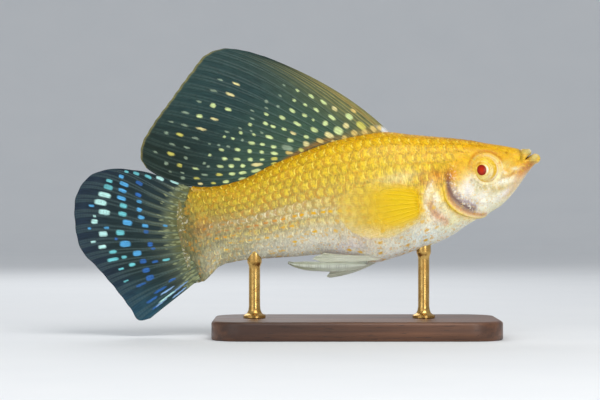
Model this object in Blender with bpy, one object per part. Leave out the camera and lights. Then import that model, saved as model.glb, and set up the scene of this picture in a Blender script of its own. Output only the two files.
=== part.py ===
"""A male giant sailfin molly of the gold form, life size, on a plain display stand.

The fish is modelled level in its own frame, in millimetres: s runs back from the tip of the lower jaw,
h is the height above the body's axis and y is the distance to the left. An empty then tips the whole fish
nose up and lifts it over its stand. The head, trunk and tail stalk are one smooth body parted by thin cuts.
"""

import math

import bpy
import numpy as np
from mathutils import Vector
from mathutils.bvhtree import BVHTree

MM = 0.001
GAP = 0.3  # clearance between pieces that touch

# Placing of the fish over its stand
SNOUT_X = 62.01
SNOUT_Z = 47.9
PITCH_DEG = 12.0

# Body sections: station, top, bottom, half width, height of the widest point, upper and lower fullness
SECTIONS = np.array([
    (6.0, 3.7, -5.5, 3.1, -0.4, 2.3, 2.0),
    (9.0, 4.9, -7.9, 3.9, -0.5, 2.5, 2.0),
    (12.5, 6.2, -10.3, 4.8, -0.6, 2.6, 1.9),
    (17.5, 8.1, -12.1, 5.8, -0.9, 2.5, 1.85),
    (22.5, 9.8, -13.6, 6.6, -1.2, 2.3, 1.85),
    (27.5, 11.3, -15.5, 7.1, -1.5, 2.1, 1.9),
    (33.0, 13.0, -16.8, 7.5, -1.5, 2.0, 2.0),
    (38.5, 14.8, -17.5, 7.7, -1.5, 1.9, 2.0),
    (44.0, 15.4, -18.1, 7.6, -1.5, 1.9, 2.0),
    (49.0, 15.5, -18.2, 7.3, -1.0, 1.9, 2.0),
    (54.0, 15.3, -15.9, 6.8, -0.5, 1.9, 2.0),
    (61.0, 14.3, -13.5, 5.9, 0.0, 1.9, 2.0),
    (70.0, 12.7, -12.2, 4.7, 0.3, 1.9, 2.0),
    (79.0, 10.4, -10.9, 3.6, 0.0, 1.9, 1.9),
    (85.0, 10.1, -10.3, 2.9, 0.0, 1.9, 1.9),
    (90.0, 10.8, -10.9, 2.2, 0.0, 2.0, 2.0),
    (93.0, 11.7, -13.0, 1.8, 0.0, 2.0, 2.0),
    (95.5, 12.3, -14.0, 1.5, 0.0, 2.1, 2.1),
    (98.0, 12.6, -13.0, 1.2, 0.0, 2.2, 2.2),
])
NECK_CUT = 29.0
STALK_CUT = 71.5
BODY_SIDES = 32
TRUNK_RINGS = 21
STALK_RINGS = 15
HEAD_SIDES = 36
HEAD_RINGS = 12

# The snout, from its last plain section to the lips that roll into the mouth
SNOUT_START = 9.0
UPPER_LIP = (2.6, 2.2)
LOWER_LIP = (1.25, -0.2)
MOUTH_CORNER = (5.0, 0.65)
MOUTH_HALF_WIDTH = 2.5
UPPER_LIP_R = 0.55
LOWER_LIP_R = 1.25
CORNER_LIP_R = 0.35
MOUTH_BACK = (6.2, 0.75)
MOUTH_END = (7.0, 0.72)
SNOUT_LEAD = 0.62
SNOUT_LEAD_UP = 0.18
SNOUT_RINGS = 5
LIP_RINGS = 4

# Eyes: flattened balls set into sockets
EYE_AT = (15.2, 0.4)
EYE_RADIUS = 3.6
EYE_HALF_DEPTH = 1.9
EYE_SUNK = 0.9
EYE_RINGS = 12
EYE_SIDES = 22

# Nostrils: two openings on each side
NOSTRILS = ((8.9, 2.9, 0.42), (11.0, 4.3, 0.38))
NOSTRIL_OUT = 0.1

# Gill covers: front and rear edge seen from the side, top to bottom
COVER_FRONT = ((20.2, 3.4), (19.9, 0.2), (19.2, -3.6), (17.4, -7.0), (14.9, -9.2))
COVER_REAR = ((23.6, 3.0), (26.4, 0.2), (27.6, -3.2), (27.2, -6.6), (25.2, -9.6), (21.6, -11.3),
              (18.0, -10.9))
COVER_IN = 0.75
COVER_OUT_FRONT = 0.05
COVER_OUT_REAR = 0.4
COVER_CUT_OUT = 1.2
COVER_ACROSS = 6
COVER_DOWN = 12

# Caudal fin base: how far the stalk's rounded end reaches, and how fast it turns back above and below
STALK_END = 97.4
STALK_END_UP = 0.025
STALK_END_DOWN = 0.006

# Fins: half thicknesses of membrane, ridge, margin and root, and a ridge's foot against the rays' spacing
MEMBRANE = 0.26
RAY_RIDGE = 0.2
RIDGE_FADE = 0.8
MARGIN = 0.16
FIN_ROOT = 0.7
ROOT_SHARE = 0.1
RAY_FOOT = 0.26
FIN_SMOOTH_DEG = 25.0

# Upright fins: root line, tips seen from the side, and the rays' headings at root and tip, first to last

DORSAL_BASE = (37.4, 70.3)
DORSAL_TIPS = ((66.0, 41.3), (71.5, 44.2), (77.0, 45.8), (81.4, 45.1), (86.2, 41.3), (93.2, 35.0),
               (99.8, 29.1), (103.2, 25.0), (104.1, 21.3), (103.2, 18.9))
DORSAL_START_DEG = ((0.0, 57.0), (0.35, 41.0), (0.7, 18.5), (1.0, -20.0))
DORSAL_END_DEG = ((0.0, 33.0), (0.3, 23.5), (0.7, 23.0), (1.0, 44.0))
DORSAL_HANDLES = (0.33, 0.36)
DORSAL_CROWDING = 0.9
DORSAL_SWAY = (0.9, 2.6, 0.4)
DORSAL_RAYS = 18
DORSAL_ROWS = 10
CAUDAL_BASE = (11.9, -13.2)
CAUDAL_TIPS = ((105.5, 18.7), (112.3, 20.6), (118.5, 19.9), (122.8, 15.9), (124.8, 8.5), (124.6, 1.2),
               (121.2, -4.6), (118.0, -10.4), (115.2, -16.3), (113.2, -20.5), (110.4, -20.5))
CAUDAL_START_DEG = ((0.0, 27.0), (1.0, -29.0))
CAUDAL_END_DEG = ((0.0, 18.0), (1.0, -28.0))
CAUDAL_HANDLES = (0.3, 0.3)
CAUDAL_SWAY = (0.8, 2.2, -0.6)
CAUDAL_RAYS = 16
CAUDAL_ROWS = 8

# Paired fins: roots and tips are seen from the side, and each blade's tips stand out from the middle plane
SIDE_HANDLE = 0.3
SIDE_TURN_SHARE = 0.3
FIN_CUP = 0.5
PECTORAL_ROOT = ((32.9, -2.2), (33.3, -5.6), (34.9, -8.8))
PECTORAL_TIPS = ((47.5, 2.2), (52.1, 1.7), (55.3, -0.4), (56.0, -3.2), (54.6, -7.6), (51.0, -10.8),
                 (45.0, -12.4))
PECTORAL_OUT = 11.0
PECTORAL_ROOT_HALF = 0.5
PECTORAL_RAYS = 12
PECTORAL_ROWS = 7
PELVIC_ROOT = ((46.2, -17.2), (47.8, -16.8), (49.4, -15.9))
RIGHT_PELVIC_TIPS = ((59.6, -16.0), (63.2, -14.9), (64.9, -13.8), (61.6, -12.9))
RIGHT_PELVIC_OUT = 5.2
RIGHT_PELVIC_SAG = 0.3
LEFT_PELVIC_TIPS = ((59.5, -19.9), (62.2, -19.6), (61.5, -18.7), (58.0, -17.6))
LEFT_PELVIC_OUT = 4.6
LEFT_PELVIC_SAG = 1.3
PELVIC_ROOT_HALF = 0.4
PELVIC_RAYS = 5
PELVIC_ROWS = 6

# The male's rod-like anal fin: middle line, half height and width, and the root's station and half sizes
ROD_FIN_PATH = ((51.2, -18.5), (55.0, -17.95), (59.0, -17.3), (64.0, -16.2), (68.0, -15.1), (71.4, -13.9))
ROD_FIN_HEIGHT = (0.95, 1.15, 1.25, 1.2, 1.05, 0.35)
ROD_FIN_WIDTH = (0.75, 0.65, 0.6, 0.6, 0.5, 0.25)
ROD_FIN_ROOT = (50.6, 1.3, 0.75)
ROD_FIN_LOBES = 0.09
ROD_FIN_BEND = (0.35, 0.22)
ROD_FIN_SIDES = 14
ROD_FIN_RINGS = 13

# Display stand
BASE_CENTRE_X = 13.0
BASE_SIZE = (76.0, 42.0, 5.0)
BASE_CORNER = 9.0
BASE_EDGE = 0.9
BASE_CORNER_STEPS = 6
ROD_RADIUS = 1.5
ROD_COLLAR = (3.0, 0.9, 1.6)
ROD_PAD_RADIUS = 1.9
ROD_PAD_HEIGHT = 2.0
ROD_FRONT_X = 31.0
ROD_REAR_X = -14.0
ROD_SIDES = 20


def clear_scene():
    for obj in list(bpy.data.objects):
        bpy.data.objects.remove(obj, do_unlink=True)


def material(name, colour, roughness, metallic=0.0):
    """A Principled material of one colour."""
    made = bpy.data.materials.new(name)
    made.use_nodes = True
    shader = made.node_tree.nodes["Principled BSDF"]
    shader.inputs["Base Color"].default_value = (*colour, 1.0)
    shader.inputs["Roughness"].default_value = roughness
    shader.inputs["Metallic"].default_value = metallic
    return made


def smooth(knots, values, at):
    """A cubic curve through the values at the knots, with each slope taken from its neighbours."""
    knots = np.asarray(knots, float)
    values = np.asarray(values, float)
    at = np.clip(np.asarray(at, float), knots[0], knots[-1])
    steps = np.diff(knots)
    rises = np.diff(values) / steps
    slopes = np.empty_like(values)
    slopes[1:-1] = (rises[:-1] * steps[1:] + rises[1:] * steps[:-1]) / (steps[:-1] + steps[1:])
    slopes[0] = rises[0]
    slopes[-1] = rises[-1]
    i = np.clip(np.searchsorted(knots, at, side="right") - 1, 0, len(steps) - 1)
    t = (at - knots[i]) / steps[i]
    start = (1 + 2 * t) * (1 - t) ** 2 * values[i] + t * (1 - t) ** 2 * steps[i] * slopes[i]
    end = t * t * (3 - 2 * t) * values[i + 1] + t * t * (t - 1) * steps[i] * slopes[i + 1]
    return start + end


def along(points, at):
    """Points on a smooth curve through the given ones, at runs from 0 to 1 by the distance along it."""
    points = np.asarray(points, float)
    lengths = np.linalg.norm(np.diff(points, axis=0), axis=1)
    knots = np.concatenate([[0.0], np.cumsum(lengths)]) / lengths.sum()
    return np.stack([smooth(knots, points[:, k], at) for k in range(points.shape[1])], axis=-1)


def section(s):
    """Top, bottom, half width, widest height, upper and lower fullness at a station."""
    return [smooth(SECTIONS[:, 0], SECTIONS[:, k], s) for k in range(1, 7)]


def plain_skin(s, theta):
    """The body's surface: a superellipse at each station, with theta 0 at the back and pi at the belly."""
    s, theta = np.broadcast_arrays(np.asarray(s, float), np.asarray(theta, float))
    top, bottom, half, widest, upper, lower = section(s)
    c, n = np.cos(theta), np.sin(theta)
    power = 2.0 / np.where(c > 0, upper, lower)
    rise = np.where(c > 0, top - widest, widest - bottom)
    y = half * np.sign(n) * np.abs(n) ** power
    h = widest + rise * np.sign(c) * np.abs(c) ** power
    return np.stack([s, y, h], axis=-1)


def skin(s, theta, lift=0.0):
    """A point of the body's surface, raised along its normal by lift."""
    s, theta = np.broadcast_arrays(np.asarray(s, float), np.asarray(theta, float))
    small = 1e-3
    ahead = plain_skin(s - small, theta) - plain_skin(s + small, theta)
    round_ = plain_skin(s, theta + small) - plain_skin(s, theta - small)
    normal = np.cross(ahead, round_)
    normal /= np.linalg.norm(normal, axis=-1, keepdims=True)
    outward = plain_skin(s, theta) - np.stack([s, 0 * s, section(s)[3]], axis=-1)
    normal *= np.sign((normal * outward).sum(-1, keepdims=True))
    return plain_skin(s, theta) + normal * np.asarray(lift, float)[..., None]


def theta_at(s, h):
    """The angle round the body at which the surface has height h."""
    top, bottom, _, widest, upper, lower = section(s)
    h = np.asarray(h, float)
    share_up = np.clip((h - widest) / (top - widest), 0, 1) ** (upper / 2)
    share_down = np.clip((widest - h) / (widest - bottom), 0, 1) ** (lower / 2)
    return np.where(h > widest, np.arccos(share_up), math.pi - np.arccos(share_down))


def fish_node(name, points, faces, finish, fish, side=1, smooth_angle=40.0):
    """A node given in the fish's frame, where s runs back, and mirrored to the right for side -1."""
    return node(name, points * np.array([-1.0, side, 1.0]), faces, finish, fish, smooth_angle)


def node(name, points, faces, finish, parent=None, smooth_angle=40.0):
    """A named object from points in millimetres and faces that wind either way, turned to face out."""
    mesh = bpy.data.meshes.new(name)
    mesh.from_pydata((points * MM).tolist(), [], faces)
    mesh.validate()
    if volume(mesh) < 0:
        mesh.flip_normals()
    mesh.shade_smooth()
    mesh.set_sharp_from_angle(angle=math.radians(smooth_angle))
    if finish:
        mesh.materials.append(finish)
    obj = bpy.data.objects.new(name, mesh)
    bpy.context.scene.collection.objects.link(obj)
    obj.parent = parent
    return obj


def volume(mesh):
    """Six times the mesh's volume, below zero where its faces point in."""
    mesh.calc_loop_triangles()
    points = np.array([v.co for v in mesh.vertices])
    faces = np.array([t.vertices for t in mesh.loop_triangles])
    return np.linalg.det(points[faces]).sum()


def tube_faces(rings, sides, first_cap=True):
    """Triangles joining rings of points in order, with a flat cap on the first ring."""
    faces = []
    for r in range(rings - 1):
        for i in range(sides):
            j = (i + 1) % sides
            a, b, c, d = r * sides + i, r * sides + j, (r + 1) * sides + j, (r + 1) * sides + i
            faces += [(a, b, c), (a, c, d)]
    if first_cap:
        faces.append(tuple(range(sides))[::-1])
    return faces


def fan(ring_start, sides, centre, turned=False):
    """Triangles from a ring to one centre point."""
    made = [(ring_start + i, ring_start + (i + 1) % sides, centre) for i in range(sides)]
    return [f[::-1] for f in made] if turned else made


def angles(sides):
    """Angles evenly round a circle."""
    return np.arange(sides) * 2 * math.pi / sides


def lip(theta):
    """Centre, radius and outward direction of the lips' roll, from the upper lip round to the lower."""
    c, n = np.cos(theta), np.sin(theta)
    lead = np.abs(c)
    upper = c > 0
    s = MOUTH_CORNER[0] + lead * (np.where(upper, UPPER_LIP[0], LOWER_LIP[0]) - MOUTH_CORNER[0])
    h = MOUTH_CORNER[1] + lead * (np.where(upper, UPPER_LIP[1], LOWER_LIP[1]) - MOUTH_CORNER[1])
    radius = CORNER_LIP_R + lead * (np.where(upper, UPPER_LIP_R, LOWER_LIP_R) - CORNER_LIP_R)
    centre = np.stack([s, MOUTH_HALF_WIDTH * n, h], axis=-1)
    out = np.stack([0 * s, n, c], axis=-1)
    return centre, radius[..., None], out


def snout_rings(sides):
    """Rings from the snout's first section forward, over the lips and back into the mouth."""
    theta = angles(sides)
    ahead = np.array([-1.0, 0.0, 0.0])
    centre, radius, out = lip(theta)
    start = plain_skin(np.full(sides, SNOUT_START), theta)
    end = centre + radius * out
    length = (start[:, :1] - end[:, :1])
    lead_in = (plain_skin(np.full(sides, SNOUT_START - 0.5), theta) - start) / 0.5 * length
    lead_out = ahead * length * (SNOUT_LEAD + SNOUT_LEAD_UP * np.cos(theta))[:, None]
    rings = []
    for t in np.linspace(0, 1, SNOUT_RINGS + 1)[:-1]:
        rings.append((1 + 2 * t) * (1 - t) ** 2 * start + t * (1 - t) ** 2 * lead_in
                     + t * t * (3 - 2 * t) * end + t * t * (t - 1) * lead_out)
    for beta in np.linspace(0, math.pi, LIP_RINGS + 1):
        rings.append(centre + radius * (math.cos(beta) * out + math.sin(beta) * ahead))
    back = np.array([MOUTH_BACK[0], 0.0, MOUTH_BACK[1]])
    rings.append((rings[-1] + back) / 2)
    return rings


def head(parent, finish):
    """Snout, lips, mouth, cheeks and nape, up to the cut behind the gill covers."""
    sides = HEAD_SIDES
    stations = np.linspace(NECK_CUT - GAP / 2, SNOUT_START, HEAD_RINGS + 1)[:-1]
    rings = [plain_skin(np.full(sides, s), angles(sides)) for s in stations]
    rings += snout_rings(sides)
    end = np.array([[MOUTH_END[0], 0.0, MOUTH_END[1]]])
    points = np.concatenate(rings + [end])
    faces = tube_faces(len(rings), sides) + fan((len(rings) - 1) * sides, sides, len(points) - 1)
    made = fish_node("head", points, faces, finish, parent)
    for side in (-1, 1):
        cut(made, gill_cover(side, f"cover_recess_{side}", finish, parent, grown=True))
        cut(made, eye(side, f"socket_{side}", finish, parent, grown=GAP))
        for k, (s, h, radius) in enumerate(NOSTRILS):
            cut(made, nostril_ball(side, f"nostril_cutter_{side}_{k}", s, h, radius, parent))


def cut(obj, cutter):
    """Takes the cutter's shape out of the object."""
    cutter.hide_render = True
    cutter.display_type = "WIRE"
    taken = obj.modifiers.new(cutter.name, "BOOLEAN")
    taken.operation = "DIFFERENCE"
    taken.object = cutter


def nostril_ball(side, name, s, h, radius, parent):
    """A small ball, centred just outside the skin, that cuts one nostril."""
    points, faces = globe(6, 10)
    centre = skin(s, theta_at(s, h), NOSTRIL_OUT)
    return fish_node(name, points * radius + centre, faces, None, parent, side)


def globe(rings, sides):
    """A unit ball with its poles on the y axis."""
    polar = np.linspace(0, math.pi, rings + 1)[1:-1]
    turn = angles(sides)
    grid = np.stack([
        np.outer(np.sin(polar), np.cos(turn)),
        np.outer(np.cos(polar), np.ones(sides)),
        np.outer(np.sin(polar), np.sin(turn)),
    ], axis=-1).reshape(-1, 3)
    points = np.concatenate([grid, [[0, 1, 0], [0, -1, 0]]])
    faces = tube_faces(len(polar), sides, first_cap=False)
    faces += fan(0, sides, len(points) - 2, turned=True)
    faces += fan((len(polar) - 1) * sides, sides, len(points) - 1)
    return points, faces


def eye(side, name, finish, parent, grown=0.0):
    """A flattened ball whose axis stands square to the cheek. A grown one cuts its socket."""
    theta = theta_at(*EYE_AT)
    centre = skin(EYE_AT[0], theta, -EYE_SUNK)
    axis = skin(EYE_AT[0], theta, 1.0) - skin(EYE_AT[0], theta, 0.0)
    ahead = np.cross(axis, [0.0, 0.0, 1.0])
    ahead /= np.linalg.norm(ahead)
    up = np.cross(ahead, axis)
    points, faces = globe(EYE_RINGS, EYE_SIDES)
    flat, deep = EYE_RADIUS + grown, EYE_HALF_DEPTH + grown
    points = centre + flat * (points[:, :1] * ahead + points[:, 2:] * up) + deep * points[:, 1:2] * axis
    return fish_node(name, points, faces, finish, parent, side)


def gill_cover(side, name, finish, parent, grown=False):
    """The bony plate over the gills, laid on the body's surface. A grown one cuts its recess."""
    margin = GAP if grown else 0.0
    v = np.linspace(0, 1, COVER_DOWN + 1)
    front = along(COVER_FRONT, v)
    rear = along(COVER_REAR, v)
    front_theta = theta_at(front[:, 0], front[:, 1])
    rear_theta = theta_at(rear[:, 0], rear[:, 1])
    reach = np.linalg.norm(rear - front, axis=1)
    u = np.linspace(0, 1, COVER_ACROSS + 1)[:, None]
    u = u * (1 + 2 * margin / reach) - margin / reach
    s = front[:, 0] + u * (rear[:, 0] - front[:, 0])
    theta = front_theta + u * (rear_theta - front_theta)
    if grown:
        s, theta = stretched(s, theta, margin)
    share = np.clip(u, 0, 1)
    top = COVER_OUT_FRONT + (COVER_OUT_REAR - COVER_OUT_FRONT) * share ** 1.5
    outer = skin(s, theta, top + (COVER_CUT_OUT if grown else 0.0))
    inner = skin(s, theta, np.full(s.shape, -COVER_IN - margin))
    points, faces = slab(outer, inner)
    return fish_node(name, points, faces, finish, parent, side)


def stretched(s, theta, margin):
    """The same patch with its upper and lower edges moved out by a margin."""
    s, theta = s.copy(), theta.copy()
    for edge, beside in ((0, 1), (-1, -2)):
        a = plain_skin(s[:, edge], theta[:, edge])
        b = plain_skin(s[:, beside], theta[:, beside])
        share = margin / np.linalg.norm(a - b, axis=-1)
        s[:, edge] += (s[:, edge] - s[:, beside]) * share
        theta[:, edge] += (theta[:, edge] - theta[:, beside]) * share
    return s, theta


def slab(outer, inner):
    """A closed sheet between two grids of points, split into triangles alike on both faces."""
    rows, columns = outer.shape[:2]
    count = rows * columns
    points = np.concatenate([outer.reshape(-1, 3), inner.reshape(-1, 3)])
    faces = []
    for i in range(rows - 1):
        for j in range(columns - 1):
            a, b = i * columns + j, i * columns + j + 1
            c, d = a + columns, b + columns
            faces += [(a, b, d), (a, d, c)]
            faces += [(a + count, d + count, b + count), (a + count, c + count, d + count)]
    rim = list(range(columns))
    rim += [i * columns + columns - 1 for i in range(1, rows)]
    rim += [(rows - 1) * columns + j for j in range(columns - 2, -1, -1)]
    rim += [i * columns for i in range(rows - 2, 0, -1)]
    for a, b in zip(rim, rim[1:] + rim[:1]):
        faces += [(b, a, a + count), (b, a + count, b + count)]
    return points, faces


def trunk(parent, finish):
    """The body from behind the gill covers to the stalk."""
    sides = BODY_SIDES
    stations = np.linspace(NECK_CUT + GAP / 2, STALK_CUT - GAP / 2, TRUNK_RINGS)
    rings = [plain_skin(np.full(sides, s), angles(sides)) for s in stations]
    faces = tube_faces(len(rings), sides)
    faces.append(tuple((len(rings) - 1) * sides + i for i in range(sides)))
    return fish_node("trunk", np.concatenate(rings), faces, finish, parent)


def stalk_end(h):
    """How far back the fleshy stalk reaches at height h, where the tail fin's rays take over."""
    h = np.asarray(h, float)
    return STALK_END - np.where(h > 0, STALK_END_UP, STALK_END_DOWN) * h * h


def tail_stalk(parent, finish):
    """The deep stalk before the tail fin, flat and rounded at its end."""
    sides = BODY_SIDES
    theta = angles(sides)
    end = np.full(sides, STALK_END)
    for _ in range(6):
        end = stalk_end(plain_skin(end, theta)[:, 2])
    start = STALK_CUT + GAP / 2
    rings = [plain_skin(start + (end - start) * t, theta) for t in np.linspace(0, 1, STALK_RINGS)]
    faces = tube_faces(len(rings), sides)
    last = (STALK_RINGS - 1) * sides
    for i in range(sides // 2):
        a, b = last + i, last + i + 1
        c, d = last + (sides - i) % sides, last + (sides - i - 1) % sides
        if i == 0:
            faces.append((a, b, d))
        elif i == sides // 2 - 1:
            faces.append((a, b, c))
        else:
            faces += [(a, b, d), (a, d, c)]
    return fish_node("tail_stalk", np.concatenate(rings), faces, finish, parent)


def ray_columns(rays, foot):
    """Where the columns of a fin's grid lie: a crest on each ray and a foot on either side of it."""
    spacing = 1 / (rays - 1)
    places, crests = [], []
    for k in range(rays):
        for offset, crest in ((-foot, 0.0), (0.0, 1.0), (foot, 0.0)):
            place = (k + offset) * spacing
            if -1e-9 <= place <= 1 + 1e-9:
                places.append(min(max(place, 0.0), 1.0))
                crests.append(crest)
    return np.array(places), np.array(crests)


def half_thickness(r, crests, root):
    """Half the fin's thickness: stout at the root, a ridge on each ray, thin at the margin."""
    r = r[:, None]
    sheet = MEMBRANE + (MARGIN - MEMBRANE) * r ** 3
    swell = np.exp(-((r / ROOT_SHARE) ** 2))
    ridge = RAY_RIDGE * (1 - RIDGE_FADE * r ** 2) * crests
    return sheet + ridge * (1 - swell) + (root - MEMBRANE) * swell


def bezier(start, first, second, end, t):
    """A cubic curve from start to end through two handles, for each column at every t."""
    t = t[:, None, None]
    near = (1 - t) ** 3 * start + 3 * t * (1 - t) ** 2 * first
    return near + 3 * t * t * (1 - t) * second + t ** 3 * end


def heading(degrees):
    """A unit vector in the side view: 0 points straight back and 90 straight up."""
    a = np.radians(degrees)
    return np.stack([np.cos(a), np.sin(a)], axis=-1)


def upright_fin(name, roots, tips, first_deg, last_deg, handles, columns, rows, sway, finish, parent):
    """A fin in the fish's middle plane, whose rays curve out to the margin as the sheet sways."""
    places, crests = columns
    r = np.linspace(0, 1, rows + 1)
    reach = np.linalg.norm(tips - roots, axis=1)[:, None]
    flat = bezier(roots, roots + heading(first_deg) * reach * handles[0],
                  tips - heading(last_deg) * reach * handles[1], tips, r)
    half = half_thickness(r, crests, FIN_ROOT)
    width, waves, phase = sway
    middle = width * r[:, None] ** 1.5 * np.sin(waves * math.pi * places + phase)
    faces = [np.stack([flat[..., 0], middle + sign * half, flat[..., 1]], axis=-1) for sign in (-1, 1)]
    points, triangles = slab(*faces)
    fish_node(name, points, triangles, finish, parent, smooth_angle=FIN_SMOOTH_DEG)


def dorsal_fin(parent, finish):
    """The sail: long rays that lean back, the last of them low over the back."""
    columns = ray_columns(DORSAL_RAYS, RAY_FOOT)
    v = columns[0]
    base = DORSAL_BASE[0] + (DORSAL_BASE[1] - DORSAL_BASE[0]) * v
    roots = np.stack([base, section(base)[0] + GAP], axis=-1)
    tips = along(DORSAL_TIPS, v ** DORSAL_CROWDING)
    first = smooth(*np.transpose(DORSAL_START_DEG), v)
    last = smooth(*np.transpose(DORSAL_END_DEG), v)
    upright_fin("dorsal_fin", roots, tips, first, last, DORSAL_HANDLES, columns, DORSAL_ROWS,
                DORSAL_SWAY, finish, parent)


def caudal_fin(parent, finish):
    """The fan of the tail."""
    columns = ray_columns(CAUDAL_RAYS, RAY_FOOT)
    v = columns[0]
    height = CAUDAL_BASE[0] + (CAUDAL_BASE[1] - CAUDAL_BASE[0]) * v
    roots = np.stack([stalk_end(height) + GAP, height], axis=-1)
    tips = along(CAUDAL_TIPS, v)
    first = smooth(*np.transpose(CAUDAL_START_DEG), v)
    last = smooth(*np.transpose(CAUDAL_END_DEG), v)
    upright_fin("caudal_fin", roots, tips, first, last, CAUDAL_HANDLES, columns, CAUDAL_ROWS,
                CAUDAL_SWAY, finish, parent)


def side_fin(name, side, root, tips, out, columns, rows, root_half, sag, finish, parent):
    """A paired fin: its root lies face to face with the skin, and its blade swings back and out."""
    places, crests = columns
    r = np.linspace(0, 1, rows + 1)
    base = along(root, places)
    theta = theta_at(base[:, 0], base[:, 1])
    start = skin(base[:, 0], theta, GAP + root_half)
    skin_out = start - skin(base[:, 0], theta, 0.0)
    skin_out /= np.linalg.norm(skin_out, axis=-1, keepdims=True)
    seen = along(tips, places)
    spread = out - FIN_CUP * np.abs(places - 0.5)
    end = np.stack([seen[:, 0], spread, seen[:, 1]], axis=-1)
    reach = np.linalg.norm(end - start, axis=-1, keepdims=True)
    back = end - start
    back -= skin_out * (back * skin_out).sum(-1, keepdims=True)
    back /= np.linalg.norm(back, axis=-1, keepdims=True)
    straight = (end - start) / reach
    drop = np.array([0.0, 0.0, -sag])
    blade = bezier(start, start + back * reach * SIDE_HANDLE + drop,
                   end - straight * reach * SIDE_HANDLE + drop, end, r)
    blade_out = np.cross(np.gradient(blade, axis=0), np.gradient(blade, axis=1))
    blade_out /= np.linalg.norm(blade_out, axis=-1, keepdims=True)
    blade_out *= np.sign((blade_out * skin_out).sum(-1, keepdims=True))
    mix = np.clip(r / SIDE_TURN_SHARE, 0, 1)[:, None, None]
    facing = skin_out * (1 - mix) + blade_out * mix
    facing /= np.linalg.norm(facing, axis=-1, keepdims=True)
    half = half_thickness(r, crests, root_half)[..., None]
    points, triangles = slab(blade + facing * half, blade - facing * half)
    fish_node(name, points, triangles, finish, parent, side, FIN_SMOOTH_DEG)


def rod_fin(parent, finish):
    """The male's anal fin, whose front rays form one thick rod under the belly."""
    sides = ROD_FIN_SIDES
    turn = angles(sides)
    station, long_half, wide_half = ROD_FIN_ROOT
    root_s = station + long_half * np.cos(turn)
    root_theta = math.pi - wide_half * np.sin(turn) / section(root_s)[2]
    rings = [skin(root_s, root_theta, GAP)]
    steps = np.linspace(0, 1, ROD_FIN_RINGS)[1:]
    path = along(ROD_FIN_PATH, steps)
    knots = np.linspace(0, 1, len(ROD_FIN_HEIGHT))
    tall = smooth(knots, ROD_FIN_HEIGHT, steps)
    wide = smooth(knots, ROD_FIN_WIDTH, steps)
    run = np.gradient(path, axis=0)
    run /= np.linalg.norm(run, axis=-1, keepdims=True)
    lobes = 1 + ROD_FIN_LOBES * np.cos(4 * turn)
    for k, (s, h) in enumerate(path):
        lean = min(1.0, ROD_FIN_BEND[0] + k * ROD_FIN_BEND[1])
        up = np.array([-run[k, 1], 0.0, run[k, 0]]) * lean + np.array([-1.0, 0.0, 0.0]) * (1 - lean)
        up /= np.linalg.norm(up)
        ring = np.array([s, 0.0, h]) + (tall[k] * lobes * np.cos(turn))[:, None] * up
        ring[:, 1] += wide[k] * lobes * np.sin(turn)
        rings.append(ring)
    faces = tube_faces(len(rings), sides)
    faces.append(tuple((len(rings) - 1) * sides + i for i in range(sides)))
    fish_node("gonopodium", np.concatenate(rings), faces, finish, parent)


def stand_base(finish):
    """A flat block with round corners and eased edges."""
    length, width, height = BASE_SIZE
    quarter = np.radians(np.linspace(0, 90, BASE_CORNER_STEPS + 1))
    outline = []
    outward = []
    for right, far, start in ((1, 1, 0), (-1, 1, 90), (-1, -1, 180), (1, -1, 270)):
        turn = quarter + math.radians(start)
        spoke = np.column_stack([np.cos(turn), np.sin(turn)])
        centre = (right * (length / 2 - BASE_CORNER), far * (width / 2 - BASE_CORNER))
        outline.append(centre + BASE_CORNER * spoke)
        outward.append(spoke)
    outline = np.concatenate(outline) + (BASE_CENTRE_X, 0.0)
    eased = outline - BASE_EDGE * np.concatenate(outward)
    count = len(outline)
    levels = ((outline, 0.0), (outline, height - BASE_EDGE), (eased, height))
    points = np.concatenate([np.column_stack([p, np.full(count, z)]) for p, z in levels])
    faces = tube_faces(len(levels), count)
    faces.append(tuple((len(levels) - 1) * count + i for i in range(count)))
    node("stand_base", points, faces, finish)


def stand_rod(name, x, fish, bodies, finish):
    """A turned rod from the base to the belly, with a collar below and a pad shaped to the skin above."""
    foot = BASE_SIZE[2] + GAP
    turn = angles(ROD_SIDES)
    circle = np.column_stack([np.cos(turn), np.sin(turn)])
    top_rings = []
    for share in (1.0, 2 / 3, 1 / 3):
        spots = circle * ROD_PAD_RADIUS * share
        heights = [height_under(x + p, q, fish, bodies) - GAP for p, q in spots]
        top_rings.append(np.column_stack([x + spots[:, 0], spots[:, 1], heights]))
    pad_low = top_rings[0][:, 2].min() - ROD_PAD_HEIGHT
    collar_radius, collar_side, collar_top = ROD_COLLAR
    profile = ((collar_radius, foot), (collar_radius, foot + collar_side),
               (ROD_RADIUS, foot + collar_top), (ROD_RADIUS, pad_low))
    rings = [np.column_stack([x + radius * circle[:, 0], radius * circle[:, 1], np.full(ROD_SIDES, z)])
             for radius, z in profile] + top_rings
    points = np.concatenate(rings + [[[x, 0.0, height_under(x, 0.0, fish, bodies) - GAP]]])
    faces = tube_faces(len(rings), ROD_SIDES)
    faces += fan((len(rings) - 1) * ROD_SIDES, ROD_SIDES, len(points) - 1)
    node(name, points, faces, finish)


def height_under(x, y, fish, bodies):
    """Height of the fish's skin straight above a point of the stand, in millimetres."""
    into_fish = fish.matrix_world.inverted()
    start = into_fish @ Vector((x * MM, y * MM, 0.0))
    up = (into_fish.to_3x3() @ Vector((0.0, 0.0, 1.0))).normalized()
    hits = [tree.ray_cast(start, up) for tree in bodies]
    found = [fish.matrix_world @ hit[0] for hit in hits if hit[0] is not None]
    return min(p.z for p in found) / MM


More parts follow.
